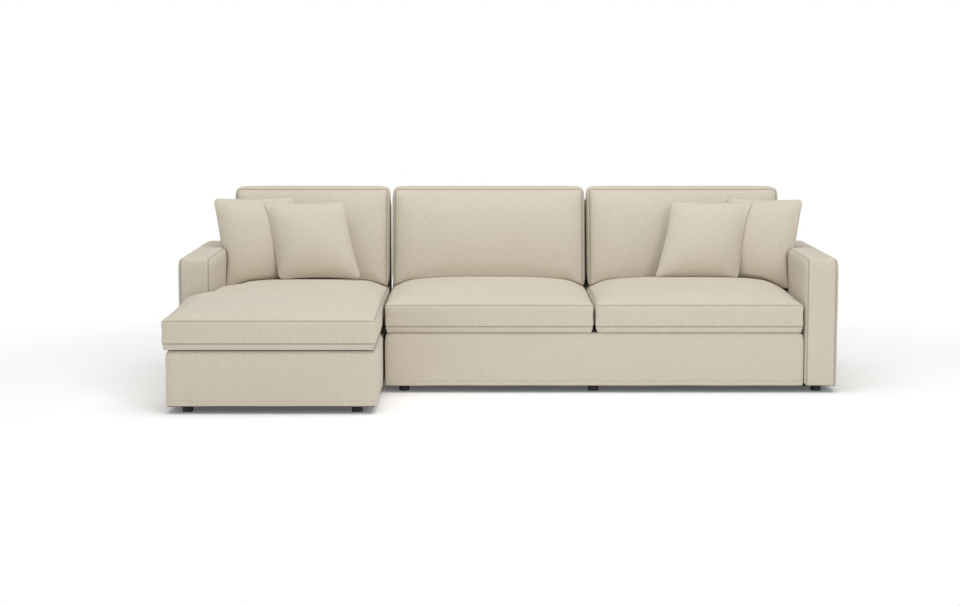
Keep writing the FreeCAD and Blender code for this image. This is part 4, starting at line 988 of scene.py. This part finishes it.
class SOFA_OT_bases(bpy.types.Operator):
    """Make the upholstery of the two bases"""
    bl_idname = "sofa.bases"
    bl_label = "Bases"

    def execute(self, context):
        sofa_base = tight_form("sofa_base_upholstery", "sofa_base_cover", 1, 0.014, 0.026, 0.026, hem=HEM,
                               has_seams=False)
        for seed, (form, section) in enumerate(((sofa_base, "sofa"), (self.chaise_base(), "chaise"))):
            quilted(form, 0.0012, 0.40, 11 + seed)
            sew(form, 0.0012, 0.25)
            fit_cloth(form, f"{section}_section", f"{section}_base_cover")
        return {"FINISHED"}

    def chaise_base(self):
        """The chaise's base: an L in plan, wide ahead of the arm."""
        size = settings()
        low, high = box("chaise_base_cover")
        arm_low, arm_high = box("left_arm_cover")
        step_u, step_v = arm_high[0], arm_low[1]
        cell = size.cell * TIGHT_CELLS
        lines_u = panel_lines([low[0], step_u, high[0]], cell, size.seam_flank)
        lines_v = panel_lines([low[1], step_v, high[1]], cell, size.seam_flank)

        def border(u, v):
            across = np.where(v <= step_v, np.minimum(u - low[0], high[0] - u),
                              np.minimum(u - step_u, high[0] - u))
            return np.minimum(across, v - low[1])

        corners = [(low[0], low[1], -1, -1, 0.022), (high[0], low[1], 1, -1, 0.022)]
        span = high[2] - low[2]
        hem, flank = HEM / span, size.seam_flank / span
        shares = [0.0, hem / 2, hem - flank, hem, hem + flank, 0.2, 0.35, 0.5, 0.65, 0.8, 0.92, 1.0]
        return sewn_form("chaise_base_upholstery", lines_u, lines_v,
                         lambda u, v: u > step_u or v < step_v,
                         lambda u, v: high[2] - 0.026 * (1 - quarter(border(u, v), 0.018)),
                         lambda u, v: low[2] + 0.004 * (1 - quarter(border(u, v), 0.006)),
                         [(share, 0.0) for share in shares], corners, lambda u, v, w: (u, v, w), (3,))


class SOFA_OT_fixed_backs(bpy.types.Operator):
    """Make the upholstery of the two fixed backs"""
    bl_idname = "sofa.fixed_backs"
    bl_label = "Fixed backs"

    def execute(self, context):
        lower_front = box("sofa_base_cover")[1][1]
        for section in ("sofa", "chaise"):
            name = f"{section}_back_cover"
            form = tight_form(
                f"{section}_back_upholstery", name, 1, 0.004, 0.012, 0.014,
                front=lambda v: np.where(v < DECK + 0.0005, lower_front, back_face(v)))
            sew(form, 0.002)
            fit_cloth(form, f"{section}_section", name)
        return {"FINISHED"}


# Staples that hold the dust covers

def staple_tree():
    """Staples at an even pitch along the edges of an outline, each turned a little at random."""
    tree = bpy.data.node_groups.new("staples_along_outline", "GeometryNodeTree")
    sockets = (("Outline", "Geometry", "INPUT"), ("Pitch", "Float", "INPUT"), ("Crown", "Vector", "INPUT"),
               ("Turn", "Float", "INPUT"), ("Seed", "Int", "INPUT"), ("Finish", "Material", "INPUT"),
               ("Staples", "Geometry", "OUTPUT"))
    for name, kind, way in sockets:
        tree.interface.new_socket(name=name, in_out=way, socket_type=f"NodeSocket{kind}")
    given = add_node(tree, "NodeGroupInput").outputs
    path = add_node(tree, "GeometryNodeMeshToCurve", inputs={"Mesh": given["Outline"]})
    spaced = add_node(tree, "GeometryNodeResampleCurve", {"mode": "LENGTH"},
                      {"Curve": path.outputs[0], "Length": given["Pitch"]})
    tangent = add_node(tree, "GeometryNodeInputTangent")
    along = add_node(tree, "FunctionNodeAlignRotationToVector", {"axis": "X"}, {"Vector": tangent.outputs[0]})
    low = add_node(tree, "ShaderNodeMath", {"operation": "MULTIPLY"}, {0: given["Turn"], 1: -1.0})
    chance = add_node(tree, "FunctionNodeRandomValue", {"data_type": "FLOAT"})
    for name, source in (("Min", low.outputs[0]), ("Max", given["Turn"]), ("Seed", given["Seed"])):
        socket = [item for item in chance.inputs if item.name == name and item.enabled][0]
        tree.links.new(source, socket)
    angle = [item for item in chance.outputs if item.enabled][0]
    turned = add_node(tree, "FunctionNodeAxisAngleToRotation", inputs={
        "Axis": (0.0, 0.0, 1.0), "Angle": angle})
    rotation = add_node(tree, "FunctionNodeRotateRotation", {"rotation_space": "LOCAL"},
                        {"Rotation": along.outputs[0], "Rotate By": turned.outputs[0]})
    bar = add_node(tree, "GeometryNodeMeshCube", inputs={"Size": given["Crown"]})
    placed = add_node(tree, "GeometryNodeInstanceOnPoints", inputs={
        "Points": spaced.outputs[0], "Instance": bar.outputs["Mesh"], "Rotation": rotation.outputs[0]})
    real = add_node(tree, "GeometryNodeRealizeInstances", inputs={"Geometry": placed.outputs[0]})
    finished = add_node(tree, "GeometryNodeSetMaterial", inputs={
        "Geometry": real.outputs[0], "Material": given["Finish"]})
    add_node(tree, "NodeGroupOutput", inputs={"Staples": finished.outputs[0]})
    return tree


class SOFA_OT_staples(bpy.types.Operator):
    """Staple the dust covers to the frames"""
    bl_idname = "sofa.staples"
    bl_label = "Staples"

    def execute(self, context):
        tree = staple_tree()
        values = {"Pitch": settings().staple_pitch, "Crown": (0.010, 0.0012, 0.0008), "Turn": 0.35,
                  "Seed": 5, "Finish": finish("screw_steel")}
        for section in ("sofa", "chaise"):
            low, high = box(f"{section}_dust_cover")
            inset, height = 0.012, low[2] - 0.0004
            left, ahead = low[0] + inset, low[1] + inset
            right, rear = high[0] - inset, high[1] - inset
            spots = [(left, ahead), (right, ahead), (right, rear), (left, rear)]
            if section == "chaise":
                arm_low, arm_high = box("left_arm_cover")
                step_u, step_v = arm_high[0] + 2 * inset, arm_low[1] - 2 * inset
                spots[3:] = [(step_u, rear), (step_u, step_v), (left, step_v)]
            mesh = bpy.data.meshes.new(f"{section}_staples")
            ring = [(index, (index + 1) % len(spots)) for index in range(len(spots))]
            mesh.from_pydata([(x, y, height) for x, y in spots], ring, [])
            piece = bpy.data.objects.new(f"{section}_staples", mesh)
            bpy.context.scene.collection.objects.link(piece)
            modifier = piece.modifiers.new("staples", "NODES")
            modifier.node_group = tree
            for item in tree.interface.items_tree:
                if item.in_out == "INPUT" and item.name in values:
                    modifier[item.identifier] = values[item.name]
            depsgraph = bpy.context.evaluated_depsgraph_get()
            real = bpy.data.meshes.new_from_object(piece.evaluated_get(depsgraph))
            piece.modifiers.clear()
            piece.data = real
            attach(piece, f"{section}_section")
        return {"FINISHED"}


class SOFA_OT_frame_finishes(bpy.types.Operator):
    """Give every frame piece, spring, foot and fastener its finish"""
    bl_idname = "sofa.frame_finishes"
    bl_label = "Frame finishes"

    def execute(self, context):
        slots = {part["node"]: part["material_slot"] for part in frame["record"]["subparts"]}
        for name, node in frame["nodes"].items():
            node.data.materials.clear()
            node.data.materials.append(finish(slots[name]))
        return {"FINISHED"}


FLOOR_REACH = 60.0
# Distances at which the sweep's glow starts to rise from its faint near glow, and from which it only glows
SWEEP_NEAR = 1.9
SWEEP_FAR = 3.6
# Light of the room itself, where the camera sees pure white
ROOM_LIGHT = 0.46
# Each lamp's name, place in metres, width in metres and power in watts
LAMPS = (("overhead", (0.0, -1.0, 5.0), 6.0, 190.0), ("key", (3.0, -7.4, 3.2), 2.0, 110.0))
LAMP_TARGET = (0.0, -0.3, 0.3)
# The photograph's lens in millimetres on a sensor 36 mm wide, its place, and its tilt from straight down
PHOTO_LENS = 77.02
PHOTO_PLACE = (-0.1351, -9.9419, 1.5403)
PHOTO_TILT = 83.497


class SOFA_OT_stage(bpy.types.Operator):
    """Make the floor, the lights, the sky and the camera"""
    bl_idname = "sofa.stage"
    bl_label = "Stage"

    def execute(self, context):
        scene = bpy.context.scene
        scene.view_settings.view_transform = "Standard"
        self.floor(scene)
        self.lights(scene)
        self.camera(scene)
        return {"FINISHED"}

    def floor(self, scene):
        """A white sweep that shades near the sofa, where a faint glow is painted fill light that lifts the
        shade under it, and glows evenly further out.
        """
        mesh = bpy.data.meshes.new("floor")
        corners = [(x * FLOOR_REACH, y * FLOOR_REACH, FLOOR_HEIGHT)
                   for x, y in ((-1, -1), (1, -1), (1, 1), (-1, 1))]
        mesh.from_pydata(corners, [], [(0, 1, 2, 3)])
        floor = bpy.data.objects.new("floor", mesh)
        scene.collection.objects.link(floor)
        material, tree, shader = new_material("matt_white_sweep")
        place = add_node(tree, "ShaderNodeTexCoord").outputs["Object"]
        distance = add_node(tree, "ShaderNodeVectorMath", {"operation": "LENGTH"}, {0: place})
        # The faint near emission is painted fill light; far out the sweep glows evenly white.
        for name, near, far in (("Base Color", 0.96, 0.0), ("Emission Strength", 0.09, 1.0)):
            share = add_node(tree, "ShaderNodeMapRange", {"interpolation_type": "SMOOTHSTEP"}, {
                "Value": distance.outputs["Value"], "From Min": SWEEP_NEAR, "From Max": SWEEP_FAR,
                "To Min": near, "To Max": far})
            feed(tree, shader, {name: share.outputs["Result"]})
        feed(tree, shader, {
            "Emission Color": (1.0, 1.0, 1.0, 1.0), "Roughness": 1.0, "Specular IOR Level": 0.0})
        mesh.materials.append(material)

    def lights(self, scene):
        """A white room, a wide lamp overhead and a smaller one from the front right."""
        world = bpy.data.worlds.new("studio")
        scene.world = world
        world.use_nodes = True
        tree = world.node_tree
        background = tree.nodes["Background"]
        background.inputs["Color"].default_value = (1.0, 1.0, 1.0, 1.0)
        seen = add_node(tree, "ShaderNodeLightPath").outputs["Is Camera Ray"]
        strength = add_node(tree, "ShaderNodeMapRange", inputs={
            "Value": seen, "To Min": ROOM_LIGHT, "To Max": 1.0})
        tree.links.new(strength.outputs["Result"], background.inputs["Strength"])
        for name, place, width, power in LAMPS:
            light = bpy.data.lights.new(name, "AREA")
            light.shape = "SQUARE"
            light.size = width
            light.energy = power
            lamp = bpy.data.objects.new(name, light)
            lamp.location = place
            aim = Vector(LAMP_TARGET) - Vector(place)
            lamp.rotation_euler = aim.to_track_quat("-Z", "Y").to_euler()
            scene.collection.objects.link(lamp)

    def camera(self, scene):
        """The camera at the photograph's viewing angle, for a frame of 960 by 606."""
        data = bpy.data.cameras.new("photo_view")
        data.sensor_width = 36.0
        data.lens = PHOTO_LENS
        data.clip_end = 200.0
        camera = bpy.data.objects.new("photo_view", data)
        camera.location = PHOTO_PLACE
        camera.rotation_euler = (math.radians(PHOTO_TILT), 0.0, 0.0)
        scene.collection.objects.link(camera)
        scene.camera = camera


MAKERS = (
    "stage", "frame_finishes", "staples", "arms", "bases", "fixed_backs", "seat_cushions", "back_cushions",
    "pillows",
)


class SOFA_PT_sidebar(bpy.types.Panel):
    """The sofa's makers and settings"""
    bl_idname = "SOFA_PT_sidebar"
    bl_label = "Sectional sofa"
    bl_space_type = "VIEW_3D"
    bl_region_type = "UI"
    bl_category = "Sofa"

    def draw(self, context):
        for name in MAKERS:
            self.layout.operator(f"sofa.{name}")
        for group in (context.scene.sofa_sizes, context.scene.sofa_colours):
            for setting in group.bl_rna.properties:
                if setting.identifier not in ("rna_type", "name"):
                    self.layout.prop(group, setting.identifier)


CLASSES = (
    SofaSizes, SofaColours, SOFA_OT_stage, SOFA_OT_frame_finishes, SOFA_OT_staples, SOFA_OT_arms,
    SOFA_OT_bases, SOFA_OT_fixed_backs, SOFA_OT_seat_cushions, SOFA_OT_back_cushions, SOFA_OT_pillows,
    SOFA_PT_sidebar,
)


def register():
    for item in CLASSES:
        bpy.utils.register_class(item)
    bpy.types.Scene.sofa_sizes = PointerProperty(type=SofaSizes)
    bpy.types.Scene.sofa_colours = PointerProperty(type=SofaColours)


def unregister():
    del bpy.types.Scene.sofa_sizes
    del bpy.types.Scene.sofa_colours
    for item in reversed(CLASSES):
        bpy.utils.unregister_class(item)


def main():
    """Make the whole sofa."""
    register()
    for name in MAKERS:
        getattr(bpy.ops.sofa, name)()


if __name__ == "__main__":
    main()
